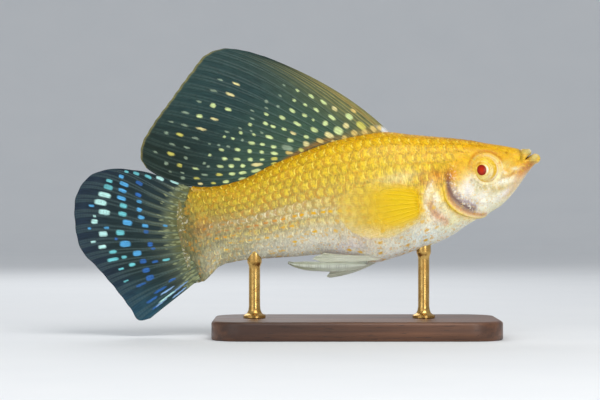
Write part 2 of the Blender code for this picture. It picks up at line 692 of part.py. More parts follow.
def main():
    clear_scene()
    gold = material("gold_skin", (0.80, 0.50, 0.08), 0.35)
    silver = material("cheek_plate", (0.85, 0.72, 0.50), 0.3)
    iris = material("eye", (0.75, 0.55, 0.15), 0.1)
    sail = material("sail_membrane", (0.10, 0.16, 0.17), 0.4)
    fan_blue = material("tail_membrane", (0.07, 0.13, 0.19), 0.4)
    clear = material("paired_fin", (0.80, 0.62, 0.20), 0.4)
    pale = material("pale_fin", (0.72, 0.74, 0.66), 0.4)
    wood = material("stand_wood", (0.12, 0.06, 0.035), 0.45)
    brass = material("stand_brass", (0.78, 0.60, 0.30), 0.3, 1.0)

    fish = bpy.data.objects.new("fish", None)
    bpy.context.scene.collection.objects.link(fish)
    fish.location = (SNOUT_X * MM, 0.0, SNOUT_Z * MM)
    fish.rotation_euler = (0.0, -math.radians(PITCH_DEG), 0.0)
    bpy.context.view_layer.update()

    head(fish, gold)
    body = [trunk(fish, gold), tail_stalk(fish, gold)]
    for side, word in ((-1, "right"), (1, "left")):
        gill_cover(side, f"gill_cover_{word}", silver, fish)
        eye(side, f"eye_{word}", iris, fish)
        side_fin(f"pectoral_fin_{word}", side, PECTORAL_ROOT, PECTORAL_TIPS, PECTORAL_OUT,
                 ray_columns(PECTORAL_RAYS, RAY_FOOT), PECTORAL_ROWS, PECTORAL_ROOT_HALF, 0.0, clear, fish)
    dorsal_fin(fish, sail)
    caudal_fin(fish, fan_blue)
    pelvic = ray_columns(PELVIC_RAYS, RAY_FOOT)
    side_fin("pelvic_fin_right", -1, PELVIC_ROOT, RIGHT_PELVIC_TIPS, RIGHT_PELVIC_OUT, pelvic,
             PELVIC_ROWS, PELVIC_ROOT_HALF, RIGHT_PELVIC_SAG, pale, fish)
    side_fin("pelvic_fin_left", 1, PELVIC_ROOT, LEFT_PELVIC_TIPS, LEFT_PELVIC_OUT, pelvic,
             PELVIC_ROWS, PELVIC_ROOT_HALF, LEFT_PELVIC_SAG, pale, fish)
    rod_fin(fish, pale)

    stand_base(wood)
    graph = bpy.context.evaluated_depsgraph_get()
    trees = [BVHTree.FromObject(obj, graph) for obj in body]
    stand_rod("stand_rod_front", ROD_FRONT_X, fish, trees, brass)
    stand_rod("stand_rod_rear", ROD_REAR_X, fish, trees, brass)


main()
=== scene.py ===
# %% [markdown]
# # A male giant sailfin molly, life size, on a display stand
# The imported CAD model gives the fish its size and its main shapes. This lesson dresses it: one seamless
# skin, a coat of scales, glossy eyes, fins with branching rays, and a stand of walnut and brass. Lengths are
# typed in millimetres in the fish's own frame: s runs back from the snout, y to the fish's left, and h up.

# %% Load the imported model
import math

import bpy
import numpy as np
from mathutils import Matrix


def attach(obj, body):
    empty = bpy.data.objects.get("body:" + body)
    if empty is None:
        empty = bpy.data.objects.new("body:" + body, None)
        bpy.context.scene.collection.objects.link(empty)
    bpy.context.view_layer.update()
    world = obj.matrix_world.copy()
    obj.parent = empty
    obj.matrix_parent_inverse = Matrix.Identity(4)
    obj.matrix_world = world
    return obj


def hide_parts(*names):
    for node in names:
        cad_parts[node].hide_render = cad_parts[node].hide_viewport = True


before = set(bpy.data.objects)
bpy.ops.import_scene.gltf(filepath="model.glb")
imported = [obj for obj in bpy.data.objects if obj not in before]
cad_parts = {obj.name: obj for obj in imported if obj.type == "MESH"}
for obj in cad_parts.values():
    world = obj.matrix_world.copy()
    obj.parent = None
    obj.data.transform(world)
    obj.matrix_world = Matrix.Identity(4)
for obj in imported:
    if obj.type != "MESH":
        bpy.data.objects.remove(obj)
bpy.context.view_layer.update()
MM = 0.001

# %% [markdown]
# ## From the fish's frame to the stand's
# A fish is easiest to draw level. The model swims with its nose up, so every surface is worked out level
# first, and one turn and one shift then carry all of its points to their place over the stand.

# %% Placing the fish
SNOUT = (62.01, 47.9)
PITCH = math.radians(12.0)


def placed(points):
    """Metres in the stand's frame: s and h turned by the pitch, with its cosine and sine, about the snout."""
    s, y, h = np.moveaxis(points, -1, 0)
    x = SNOUT[0] - s * math.cos(PITCH) - h * math.sin(PITCH)
    z = SNOUT[1] - s * math.sin(PITCH) + h * math.cos(PITCH)
    return np.stack([x, y, z], axis=-1) * MM


print("Tail end of the body at", (placed(np.array([97.4, 0.0, 0.0])) / MM).round(1), "mm")

# %% [markdown]
# ## Smooth curves through a few points
# A sculptor checks a fish against a handful of cardboard sections and lets the eye run smoothly between them.
# Here a cubic curve does that: at each section its slope is taken from both neighbours, so nothing kinks.

# %% Curves through points


def hermite(t, start, leave, end, arrive):
    """Cubic curve from start (t 0) to end (t 1) that leaves and arrives with the given slopes."""
    return ((1 + 2 * t) * (1 - t) ** 2 * start + t * (1 - t) ** 2 * leave
            + t * t * (3 - 2 * t) * end + t * t * (t - 1) * arrive)


def smooth(knots, values, at):
    """Cubic curve through the values; a slope is the mean of the rises beside it, the nearer counting more."""
    knots, values = np.asarray(knots, float), np.asarray(values, float)
    at = np.clip(np.asarray(at, float), knots[0], knots[-1])
    steps = np.diff(knots)
    rises = np.diff(values) / steps
    slopes = np.empty_like(values)
    slopes[1:-1] = (rises[:-1] * steps[1:] + rises[1:] * steps[:-1]) / (steps[:-1] + steps[1:])
    slopes[0], slopes[-1] = rises[0], rises[-1]
    i = np.clip(np.searchsorted(knots, at, side="right") - 1, 0, len(steps) - 1)
    t = (at - knots[i]) / steps[i]
    return hermite(t, values[i], steps[i] * slopes[i], values[i + 1], steps[i] * slopes[i + 1])


def along(points, at):
    """Points on a smooth curve through the given ones, where at is the share of the distance along it."""
    points = np.asarray(points, float)
    lengths = np.linalg.norm(np.diff(points, axis=0), axis=1)
    knots = np.concatenate([[0.0], np.cumsum(lengths)]) / lengths.sum()
    return np.stack([smooth(knots, points[:, k], at) for k in range(points.shape[1])], axis=-1)


def step(low, high, x):
    """Rises smoothly from 0 at low to 1 at high: 3 t squared less 2 t cubed."""
    t = np.clip((x - low) / (high - low), 0, 1)
    return t * t * (3 - 2 * t)


def bell(x, width):
    """A soft hump, 1 at zero and fading with the square of x over width."""
    return np.exp(-((x / width) ** 2))


print("A bell one width out is", round(float(bell(1.0, 1.0)), 3))

# %% [markdown]
# ## The body's sections
# These are the same sections that the CAD model uses, so the fine skin follows its solids closely. Each one
# is a superellipse: fuller than an oval where the number is above 2. Theta runs from 0 at the back to pi at
# the belly.

# %% Sections of the body
SECTIONS = np.array([  # station, top, bottom, half width, widest height, upper and lower fullness
    (6.0, 3.7, -5.5, 3.1, -0.4, 2.3, 2.0), (9.0, 4.9, -7.9, 3.9, -0.5, 2.5, 2.0),
    (12.5, 6.2, -10.3, 4.8, -0.6, 2.6, 1.9), (17.5, 8.1, -12.1, 5.8, -0.9, 2.5, 1.85),
    (22.5, 9.8, -13.6, 6.6, -1.2, 2.3, 1.85), (27.5, 11.3, -15.5, 7.1, -1.5, 2.1, 1.9),
    (33.0, 13.0, -16.8, 7.5, -1.5, 2.0, 2.0), (38.5, 14.8, -17.5, 7.7, -1.5, 1.9, 2.0),
    (44.0, 15.4, -18.1, 7.6, -1.5, 1.9, 2.0), (49.0, 15.5, -18.2, 7.3, -1.0, 1.9, 2.0),
    (54.0, 15.3, -15.9, 6.8, -0.5, 1.9, 2.0), (61.0, 14.3, -13.5, 5.9, 0.0, 1.9, 2.0),
    (70.0, 12.7, -12.2, 4.7, 0.3, 1.9, 2.0), (79.0, 10.4, -10.9, 3.6, 0.0, 1.9, 1.9),
    (85.0, 10.1, -10.3, 2.9, 0.0, 1.9, 1.9), (90.0, 10.8, -10.9, 2.2, 0.0, 2.0, 2.0),
    (93.0, 11.7, -13.0, 1.8, 0.0, 2.0, 2.0), (95.5, 12.3, -14.0, 1.5, 0.0, 2.1, 2.1),
    (98.0, 12.6, -13.0, 1.2, 0.0, 2.2, 2.2),
])


def section(s):
    """Top, bottom, half width, widest height, upper and lower fullness at a station."""
    return [smooth(SECTIONS[:, 0], SECTIONS[:, k], s) for k in range(1, 7)]


def plain_skin(s, theta):
    """Superellipse: y is the half width times sine to the power 2/fullness, h likewise with the cosine."""
    s, theta = np.broadcast_arrays(np.asarray(s, float), np.asarray(theta, float))
    top, bottom, half, widest, upper, lower = section(s)
    c, n = np.cos(theta), np.sin(theta)
    power = 2.0 / np.where(c > 0, upper, lower)
    rise = np.where(c > 0, top - widest, widest - bottom)
    y = half * np.sign(n) * np.abs(n) ** power
    return np.stack([s, y, widest + rise * np.sign(c) * np.abs(c) ** power], axis=-1)


def unit(v):
    """Vectors of length one."""
    return v / np.maximum(np.linalg.norm(v, axis=-1, keepdims=True), 1e-12)


def raised(s, theta, lift):
    """A point of the plain skin moved along its outward normal, the cross product of its two slopes."""
    small = 1e-3
    ahead = plain_skin(s - small, theta) - plain_skin(s + small, theta)
    across = plain_skin(s, theta + small) - plain_skin(s, theta - small)
    normal = unit(np.cross(ahead, across))
    here = plain_skin(s, theta)
    outward = here - np.stack([here[..., 0], 0 * here[..., 0], section(here[..., 0])[3]], axis=-1)
    normal = normal * np.sign((normal * outward).sum(-1, keepdims=True))
    return here + normal * np.asarray(lift, float)[..., None]


def theta_at(s, h):
    """The angle round the body at which the plain skin has height h."""
    top, bottom, _, widest, upper, lower = section(s)
    up = np.clip((h - widest) / (top - widest), 0, 1) ** (upper / 2)
    down = np.clip((widest - h) / (widest - bottom), 0, 1) ** (lower / 2)
    return np.where(h > widest, np.arccos(up), math.pi - np.arccos(down))


print("Body depth at station 44:", float(section(44.0)[0] - section(44.0)[1]), "mm")

# %% [markdown]
# ## The lips and the mouth
# A molly feeds at the surface, so its small mouth points up and the lower jaw stands out past the upper one.
# Each direction round the head gets its own lip point; the skin arrives there, rolls over a round lip of its
# own radius and dives back into a closed pocket. A Hermite curve joins the head's first plain section to the
# lip.

# %% The snout as a function of two parameters
SNOUT_START = 9.0
UPPER_LIP, LOWER_LIP, MOUTH_CORNER = (2.95, 1.85), (1.42, -0.2), (5.0, 0.05)
LIP_RADII = (0.92, 1.36, 0.35)  # upper, lower, corner
MOUTH_HALF_WIDTH = 2.5
MOUTH_BACK, MOUTH_END = (6.3, -0.05), (7.0, -0.08)
AHEAD = np.array([-1.0, 0.0, 0.0])


def lip(theta):
    """Centre, radius and outward direction of the lip's roll, from corner to either lip with the cosine."""
    c, n = np.cos(theta), np.sin(theta)
    lead = np.abs(c)
    s, h = [MOUTH_CORNER[k] + lead * (np.where(c > 0, UPPER_LIP[k], LOWER_LIP[k]) - MOUTH_CORNER[k])
            for k in (0, 1)]
    radius = LIP_RADII[2] + lead * (np.where(c > 0, LIP_RADII[0], LIP_RADII[1]) - LIP_RADII[2])
    centre = np.stack([s, MOUTH_HALF_WIDTH * n, h], axis=-1)
    return centre, radius[..., None], np.stack([0 * s, n, c], axis=-1)


def snout(t, theta):
    """Hermite curve from the first plain section (t 0) to the lip (t 1), along the tangents of both."""
    centre, radius, out = lip(theta)
    start, end = plain_skin(SNOUT_START, theta), centre + radius * out
    length = start[..., :1] - end[..., :1]
    small = 0.5
    leave = (plain_skin(SNOUT_START - small, theta) - start) / small * length
    arrive = AHEAD * length * (0.62 + 0.18 * np.cos(theta))[..., None]
    return hermite(t, start, leave, end, arrive)


def lip_roll(beta, theta):
    """Half a circle round the lip's centre, from outside (beta 0) over the front to inside (beta pi)."""
    centre, radius, out = lip(theta)
    return centre + radius * (np.cos(beta) * out + np.sin(beta) * AHEAD)


print("Lip ahead of the mouth corner by", MOUTH_CORNER[0] - LOWER_LIP[0] + LIP_RADII[1], "mm")

# %% [markdown]
# ## One grid for the whole skin
# Rows run from the bottom of the mouth to the end of the tail stalk and columns run round the body. Rows lie
# close together on the head, where the relief is finest, and further apart on the flank, which scales will
# cover.

# %% The skin's grid
SIDES = 256
HEAD_STEP, TRUNK_STEP = 0.2, 0.5
TRUNK_START, STALK_START, STALK_END = 30.0, 72.0, 97.4
CLOSING = 1.4  # length over which the stalk's end rounds off


def round_angles(sides):
    """Equal steps of a whole turn."""
    return np.arange(sides) * 2 * math.pi / sides


TURN = round_angles(SIDES)


def stalk_end(h):
    """How far back the flesh of the stalk reaches at height h: less by the height's square, more so above."""
    return STALK_END - np.where(h > 0, 0.025, 0.006) * h * h


def body_rows(stations):
    """Plain sections at the given stations, one row each."""
    return plain_skin(stations[:, None], TURN[None, :])


def tail_rows(start, rows):
    """Sections that slide back from a station to the stalk's curved end, then narrow to close over it."""
    end = np.full(SIDES, STALK_END)
    for _ in range(6):  # the height at the end and the end at that height settle together
        end = stalk_end(plain_skin(end, TURN)[:, 2])
    t = np.linspace(0, 1, rows)[:, None]
    made = plain_skin(start + (end - start) * t, TURN)
    turn_in = np.radians([35, 60, 78, 88])[:, None]
    last = np.repeat(made[-1:], 4, axis=0)
    last[..., 1] *= np.cos(turn_in)
    last[..., 0] += CLOSING * np.sin(turn_in)
    return np.concatenate([made, last])


beta = np.linspace(math.pi, 0, 15)[:, None, None]
inside = lip_roll(math.pi, TURN)[None]
back = np.array([MOUTH_BACK[0], 0.0, MOUTH_BACK[1]])
pocket = back + (inside - back) * np.array([0.15, 0.35, 0.6, 0.82])[:, None, None]
snout_t = np.linspace(1, 0, 46)[1:-1, None, None]
stations = np.concatenate([np.arange(SNOUT_START, TRUNK_START, HEAD_STEP),
                           np.arange(TRUNK_START, STALK_START, TRUNK_STEP)])
base_grid = np.concatenate([
    pocket, lip_roll(beta, TURN), snout(snout_t, TURN), body_rows(stations), tail_rows(STALK_START, 50),
])
ROWS = len(base_grid)
print("Skin grid:", ROWS, "rows of", SIDES, "points")

# %% [markdown]
# ## Landmarks drawn on the skin
# The gill cover's free rim, the cheek's fold and the bony arch behind the gills are all lines on the surface.
# Each is a short list of points seen from the side. The helper measures how far every point of the skin lies
# from such a line, and on which side of it, so that both the relief and the colours can follow the same line.

# %% Distances to landmark lines
COVER_RIM = ((23.0, 3.5), (25.0, 1.5), (26.7, -0.5), (27.7, -3.1), (27.5, -6.1), (25.9, -8.9), (23.3, -11.0),
             (19.5, -12.3), (15.5, -11.7))
CHEEK_FOLD = ((18.9, 3.2), (21.3, -0.3), (22.0, -3.8), (20.6, -7.3), (17.2, -9.4), (12.7, -8.5))
GILL_ARCH = ((28.6, 1.6), (30.7, -1.2), (32.5, -4.2), (33.1, -6.6), (32.2, -9.6), (29.8, -11.8))
DARK_CRESCENT = ((26.0, -0.5), (26.0, -2.4), (25.5, -4.9), (23.9, -7.3), (21.4, -9.3), (18.8, -10.3))
LIP_FOLD = ((4.7, 3.7), (5.0, 2.7), (5.15, 1.5), (5.4, 0.4), (5.9, -0.6))
JAW_FOLD = ((5.6, 0.5), (6.6, -1.2), (8.0, -2.8), (10.2, -4.6), (13.2, -6.3))
GIRTH_RADIUS = 8.0  # turns theta into millimetres down the flank, near enough to tell one side from the other


def folded(points):
    """The same points with y made positive, so that both sides share one set of landmarks."""
    return np.stack([points[..., 0], np.abs(points[..., 1]), points[..., 2]], axis=-1)


def to_line(points, theta, line, samples=70, spread=1.0):
    """Signed distance to a line on the skin, above zero on its snout side, and the share along the line.

    The distance is to the nearest of many samples of the line. Spread 0 leaves y out, as seen from the side.
    """
    marks = along(line, np.linspace(0, 1, samples))
    mark_theta = theta_at(marks[:, 0], marks[:, 1])
    spots = plain_skin(marks[:, 0], mark_theta) * [1, spread, 1]
    near = folded(points.reshape(-1, 3)) * [1, spread, 1]
    gaps = np.linalg.norm(near[:, None] - spots[None], axis=-1)
    nearest = gaps.argmin(axis=1)
    down, mark_down = half_turn(theta).ravel() * GIRTH_RADIUS, mark_theta * GIRTH_RADIUS
    if spread == 0:
        down, mark_down = -near[:, 2], -marks[:, 1]
    run = np.gradient(np.stack([marks[:, 0], mark_down], axis=-1), axis=0)[nearest]
    off = np.stack([near[:, 0] - marks[nearest, 0], down - mark_down[nearest]], axis=-1)
    side = np.sign(run[:, 0] * off[:, 1] - run[:, 1] * off[:, 0])
    distance = gaps[np.arange(len(gaps)), nearest] * side
    return distance.reshape(points.shape[:-1]), (nearest / (samples - 1)).reshape(points.shape[:-1])


def half_turn(theta):
    """Theta folded to one side, from 0 at the back to pi at the belly."""
    return np.abs((theta + math.pi) % (2 * math.pi) - math.pi)


def ends_faded(share, first=0.1, last=0.1):
    """1 along the middle of a line, fading to 0 at both of its ends."""
    return step(0, first, share) * (1 - step(1 - last, 1, share))


probe = plain_skin(np.array([20.0, 29.0]), theta_at(np.array([20.0, 29.0]), np.array([-3.0, -3.0])))
print("Distances to the gill cover's rim:", to_line(probe, np.array([1.7, 1.7]), COVER_RIM)[0].round(2))

# %% [markdown]
# ## Relief of the head
# The plates of a fish's head lie just under the skin: the gill cover lifts at its free rim, the cheek has a
# fold, and the eye sits in a ringed socket. All of it is one height map, summed from soft ridges and grooves
# and pushed along the skin's normal. A modeller could sculpt it by hand; formulas keep both sides of the
# head alike.

# %% Height map of the head
EYE_AT = (15.1, -0.25)
EYE_RADIUS, EYE_HALF_DEPTH, EYE_SUNK = 3.6, 1.9, 0.9
NOSTRILS = ((8.9, 2.9, 0.28), (11.0, 4.3, 0.26))

eye_theta = theta_at(*EYE_AT)
eye_centre = raised(EYE_AT[0], eye_theta, -EYE_SUNK)
eye_axis = unit(raised(EYE_AT[0], eye_theta, 1.0) - raised(EYE_AT[0], eye_theta, 0.0))
eye_back = unit(np.cross(eye_axis, [0.0, 0.0, 1.0]))
eye_up = np.cross(eye_back, eye_axis)


def from_eye(points):
    """Distance from the eye's axis, and the height above the eye's middle plane."""
    off = folded(points) - eye_centre
    out = (off * eye_axis).sum(-1)
    return np.linalg.norm(off - out[..., None] * eye_axis, axis=-1), (off * eye_up).sum(-1)


def head_relief(points, theta):
    """Soft ridges and grooves in millimetres: bells of the distance from each line, eye and nostril."""
    rim, rim_share = to_line(points, theta, COVER_RIM)
    fold, fold_share = to_line(points, theta, CHEEK_FOLD)
    arch, arch_share = to_line(points, theta, GILL_ARCH)
    crease, crease_share = to_line(points, theta, LIP_FOLD, spread=0)
    jaw, jaw_share = to_line(points, theta, JAW_FOLD)
    rim_on, fold_on = ends_faded(rim_share, 0.14, 0.12), ends_faded(fold_share, 0.15, 0.3)
    height = rim_on * (0.5 * np.exp(-np.clip(rim, 0, None) / 3.2) * step(-0.12, 0.12, rim)
                       - 0.42 * np.exp(-np.clip(-rim, 0, None) / 0.9) * step(0.12, -0.12, rim))
    height += rim_on * 0.12 * bell(rim - 0.45, 0.4)
    height += fold_on * (0.16 * bell(fold - 0.8, 0.9) - 0.12 * bell(fold, 0.4))
    height += ends_faded(arch_share, 0.25, 0.25) * (0.3 * bell(arch, 0.8) - 0.12 * bell(arch - 1.5, 0.5))
    height -= ends_faded(crease_share, 0.05, 0.3) * (0.26 * bell(crease, 0.3) - 0.1 * bell(crease - 0.9, 0.5))
    height -= ends_faded(jaw_share, 0.1, 0.5) * 0.2 * bell(jaw, 0.4)
    radius, above = from_eye(points)
    socket = -1.0 * (1 - step(2.6, 3.25, radius)) - 0.1 * bell(radius - 3.45, 0.25)
    socket += 0.12 * bell(radius - 4.0, 0.35)
    socket -= 0.1 * bell(radius - 4.7, 0.26) * step(-2.5, 1.0, above)
    socket -= 0.09 * bell(radius - 4.9, 0.35) * step(0.5, -2.0, above)
    height += np.where(points[..., 0] > SNOUT_START + 1.0, socket, 0.0)
    for s, h, size in NOSTRILS:
        spot = plain_skin(s, theta_at(s, h))
        gap = np.linalg.norm(folded(points) - spot, axis=-1)
        height += 0.1 * bell(gap - size - 0.16, 0.16) - 0.22 * (1 - step(size - 0.16, size + 0.1, gap))
    return height


print("Eye centre on the fish's left:", eye_centre.round(2), "axis", eye_axis.round(2))

# %% [markdown]
# ## Laying the relief on the skin
# Only the rows of the head need the height map. The skin under the coat sinks by a fifth of a millimetre, so
# the scales on top bring the outline back to where it was measured.

# %% Displaced skin


def grid_normals(grid):
    """Unit normals of a grid that is closed round its columns, from central differences both ways."""
    down = np.gradient(grid, axis=0)
    around = np.roll(grid, -1, axis=1) - np.roll(grid, 1, axis=1)
    return unit(np.cross(down, around))


RELIEF_END, UNDER_COAT = 35.5, 0.2
lips_end = len(pocket) + len(beta) // 2 + 1
head_rows = len(pocket) + len(beta) + len(snout_t) + int(np.searchsorted(stations, RELIEF_END))
on_head = slice(lips_end, head_rows)
theta_grid = np.broadcast_to(TURN, base_grid.shape[:2])
relief = np.zeros(base_grid.shape[:2])
relief[on_head] = head_relief(base_grid[on_head], theta_grid[on_head])


def coat_front(half_theta):
    """The station where scales begin, for each theta: forward on the nape, behind the gills on the flank."""
    return np.interp(half_theta / math.pi, (0, 0.1, 0.18, 0.25, 0.33, 0.4, 0.46, 0.75, 0.86, 1.0),
                     (14.0, 14.6, 17.0, 20.8, 24.5, 28.8, 30.6, 32.0, 28.5, 23.5))


under_coat = step(-0.5, 1.5, base_grid[..., 0] - coat_front(half_turn(theta_grid)))
relief -= UNDER_COAT * under_coat * (1 - step(94.5, 97.5, base_grid[..., 0]))
normals = grid_normals(base_grid)
if (normals[ROWS // 2] * (base_grid[ROWS // 2] - base_grid[ROWS // 2].mean(0))).sum() < 0:
    normals = -normals
skin_grid = base_grid + normals * relief[..., None]
print("Relief from", relief.min().round(2), "to", relief.max().round(2), "mm over", head_rows, "head rows")

# %% [markdown]
# ## Turning grids into meshes
# Every shape here is a grid of points, so one helper joins neighbours into four-sided faces and another hands
# points and faces to Blender. The volume under the faces is summed first: if it comes out negative, the faces
# point inwards and are turned round.

# %% Mesh helpers


def grid_faces(rows, columns, wrap=False):
    """Four-sided faces between neighbours of a grid, the last column joined to the first where it wraps."""
    i, j = np.arange(rows - 1)[:, None], np.arange(columns if wrap else columns - 1)[None]
    a, b = i * columns + j, i * columns + (j + 1) % columns
    return np.stack([a, b, b + columns, a + columns], axis=-1).reshape(-1, 4)


def fan_faces(ring, centre):
    """Triangles from a closed ring of points to one centre point."""
    ring = np.asarray(ring)
    return np.stack([ring, np.roll(ring, -1), np.full(len(ring), centre)], axis=-1)


def tube_faces(rows, sides):
    """Faces of a closed tube: rings joined by four-sided faces, and a fan from each end ring to its pole."""
    ring, count = np.arange(sides), rows * sides
    return [grid_faces(rows, sides, wrap=True), fan_faces(ring[::-1], count),
            fan_faces(count - sides + ring, count + 1)]


def volume(points, faces):
    """Sum of the signed volumes of the wedges from the origin to each triangle, cut from the first corner."""
    total = 0.0
    for k in range(1, faces.shape[1] - 1):
        a, b, c = points[faces[:, 0]], points[faces[:, k]], points[faces[:, k + 1]]
        total += (np.cross(a, b) * c).sum() / 6
    return total


def piece(name, points, face_sets, finish, nodes=(), marks=None, sharp=None):
    """A piece from points in metres and arrays of faces, riding on the model's body, with its attributes."""
    if sum(volume(points, faces) for faces in face_sets) < 0:
        face_sets = [faces[:, ::-1] for faces in face_sets]
    mesh = bpy.data.meshes.new(name)
    mesh.from_pydata(points.tolist(), [], [face for faces in face_sets for face in faces.tolist()])
    for mark, values in (marks or {}).items():
        kind = "FLOAT" if values.ndim == 1 else "FLOAT_COLOR"
        layer = mesh.attributes.new(mark, kind, "POINT")
        if values.ndim == 2:
            values = np.column_stack([values, np.ones(len(values))])
        layer.data.foreach_set("value" if values.ndim == 1 else "color", values.ravel().astype(np.float32))
    mesh.shade_smooth()
    if sharp:
        mesh.set_sharp_from_angle(angle=math.radians(sharp))
    mesh.materials.append(finish)
    made = bpy.data.objects.new(name, mesh)
    bpy.context.scene.collection.objects.link(made)
    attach(made, "root")
    if nodes:
        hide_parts(*nodes)
    mesh.calc_loop_triangles()
    print(f"{name}: {len(mesh.loop_triangles)} triangles")
    return made


print("Mesh helpers ready")

# %% [markdown]
# ## Shorthand for material nodes
# A node material is a little graph. These helpers make a node, set or link its sockets and return its
# output, so that a finish below reads like a recipe. Values that are the same all over are set on the shader
# itself.

# %% Node helpers


def rgb(r, g, b):
    """A colour typed as it looks on screen, 0 to 255, made linear as shaders need it."""
    c = np.array([r, g, b]) / 255
    return np.where(c <= 0.04045, c / 12.92, ((c + 0.055) / 1.055) ** 2.4)


class Finish:
    """One material's nodes, with a helper for each kind of node that this lesson uses."""

    def __init__(self, name, **sockets):
        """A new material, with the shader's sockets of the given names set to the given values."""
        self.material = bpy.data.materials.new(name)
        self.material.use_nodes = True
        self.tree = self.material.node_tree
        self.shader = self.tree.nodes["Principled BSDF"]
        for socket, value in sockets.items():
            self.shader.inputs[socket.replace("_", " ")].default_value = value

    def put(self, value, socket):
        """Links an output to a socket, or sets the socket to a plain value."""
        if isinstance(value, bpy.types.NodeSocket):
            self.tree.links.new(value, socket)
        elif socket.type == "RGBA":
            socket.default_value = (*value, 1.0)
        else:
            socket.default_value = value

    def mark(self, name, output="Fac"):
        """One of the piece's own attributes."""
        node = self.tree.nodes.new("ShaderNodeAttribute")
        node.attribute_name = name
        return node.outputs[output]

    def place(self):
        """Object coordinates, in metres."""
        return self.tree.nodes.new("ShaderNodeTexCoord").outputs["Object"]

    def stretched(self, scale):
        """Object coordinates with each axis multiplied."""
        node = self.tree.nodes.new("ShaderNodeMapping")
        node.inputs["Scale"].default_value = scale
        self.put(self.place(), node.inputs["Vector"])
        return node.outputs["Vector"]

    def noise(self, size, detail=3.0, vector=None):
        """Soft noise whose lumps are about size millimetres across."""
        node = self.tree.nodes.new("ShaderNodeTexNoise")
        node.inputs["Scale"].default_value = 1 / (size * MM) if vector is None else 1.0
        node.inputs["Detail"].default_value = detail
        self.put(vector if vector is not None else self.place(), node.inputs["Vector"])
        return node.outputs["Fac"]

    def flakes(self, size):
        """A random grey for each small cell of a Voronoi pattern, cells about size millimetres across."""
        node = self.tree.nodes.new("ShaderNodeTexVoronoi")
        node.inputs["Scale"].default_value = 1 / (size * MM)
        self.put(self.place(), node.inputs["Vector"])
        split = self.tree.nodes.new("ShaderNodeSeparateColor")
        self.put(node.outputs["Color"], split.inputs[0])
        return split.outputs[0]

    def part(self, colour, channel):
        """Red, green or blue (0, 1 or 2) of a colour. Blue is high on pearly skin and low on golden skin."""
        split = self.tree.nodes.new("ShaderNodeSeparateColor")
        self.put(colour, split.inputs[0])
        return split.outputs[channel]

    def tint(self, value):
        """A grey of the given brightness, for multiplying colours."""
        node = self.tree.nodes.new("ShaderNodeCombineColor")
        for socket in node.inputs:
            self.put(value, socket)
        return node.outputs[0]

    def calc(self, kind, a, b=0.0):
        """One Math node of the given kind, such as ADD, POWER or SINE."""
        node = self.tree.nodes.new("ShaderNodeMath")
        node.operation = kind
        for value, socket in zip((a, b), node.inputs):
            self.put(value, socket)
        return node.outputs[0]

    def times(self, first, *others):
        """The product of all the values."""
        for value in others:
            first = self.calc("MULTIPLY", first, value)
        return first

    def over(self, colour, tone, *shares):
        """The colour with a tone laid over it by the product of the shares."""
        return self.mix(self.times(*shares), colour, tone)

    def span(self, value, low, high, to_low=0.0, to_high=1.0):
        """Maps low to high onto another span, eased at both ends."""
        node = self.tree.nodes.new("ShaderNodeMapRange")
        node.interpolation_type = "SMOOTHSTEP"
        for given, socket in zip((value, low, high, to_low, to_high), node.inputs):
            self.put(given, socket)
        return node.outputs["Result"]

    def mix(self, factor, a, b, kind="MIX"):
        """Two colours mixed by a factor."""
        node = self.tree.nodes.new("ShaderNodeMix")
        node.data_type, node.blend_type = "RGBA", kind
        for value, socket in ((factor, node.inputs[0]), (a, node.inputs[6]), (b, node.inputs[7])):
            self.put(value, socket)
        return node.outputs[2]

    def bump(self, height, strength, distance):
        """Relief from a height, distance in millimetres, linked to the shader's normal."""
        node = self.tree.nodes.new("ShaderNodeBump")
        node.inputs["Strength"].default_value = strength
        node.inputs["Distance"].default_value = distance * MM
        self.put(height, node.inputs["Height"])
        self.put(node.outputs["Normal"], self.shader.inputs["Normal"])

    def into(self, value, socket):
        """Links a value to a socket of the shader."""
        self.put(value, self.shader.inputs[socket])


print("Golden yellow in linear values:", rgb(236, 186, 30).round(3))

# %% [markdown]
# ## The painted markings
# A museum painter lays soft airbrushed areas over a base tone. The same is done here for any point of the
# body: first a base colour from the belly to the back, at three places along the fish, and then a list of
# soft patches. The skin and the scales both ask this one function, so their colours always agree.

# %% Base tones from belly to back
TONE_STATIONS = (14.0, 42.0, 88.0)  # head, trunk, stalk
TONE_HEIGHTS = (0.0, 0.16, 0.34, 0.52, 0.74, 0.94, 1.0)
TONES = np.array([[rgb(*colour) for colour in ramp] for ramp in (
    ((246, 242, 208), (252, 248, 222), (252, 240, 190), (242, 198, 50), (232, 182, 0), (222, 164, 0),
     (198, 140, 0)),
    ((250, 252, 246), (246, 238, 218), (228, 208, 142), (222, 198, 106), (226, 190, 52), (224, 174, 0),
     (204, 148, 0)),
    ((182, 182, 158), (180, 176, 150), (154, 150, 112), (158, 140, 88), (172, 152, 60), (180, 146, 12),
     (166, 122, 6)),
)])  # three ramps, each from the belly to the back



def base_tone(s, up):
    """Colour at a station and a share of the height, blended straight between the typed ones both ways."""
    by_height = np.stack([[np.interp(up, TONE_HEIGHTS, row[:, k]) for k in range(3)] for row in TONES])
    place = np.interp(s, TONE_STATIONS, np.arange(len(TONE_STATIONS)))
    low = np.clip(place.astype(int), 0, len(TONES) - 2)
    share = place - low
    picked = np.take_along_axis(by_height, low[None, None], 0)[0]
    after = np.take_along_axis(by_height, low[None, None] + 1, 0)[0]
    return np.moveaxis(picked * (1 - share) + after * share, 0, -1)


print("Base tone at mid flank:", base_tone(np.array([52.0]), np.array([0.5])).round(2))

# %% [markdown]
# ## Soft patches on the head and the gill covers
# Each patch has a centre, a length and a height, a turn in degrees, a colour and a strength, and fades like
# a bell. Bands that follow a landmark line, such as the dark crescent on the gill cover, use the distance
# from it, and the rings round the eye use the distance from the eye's axis.

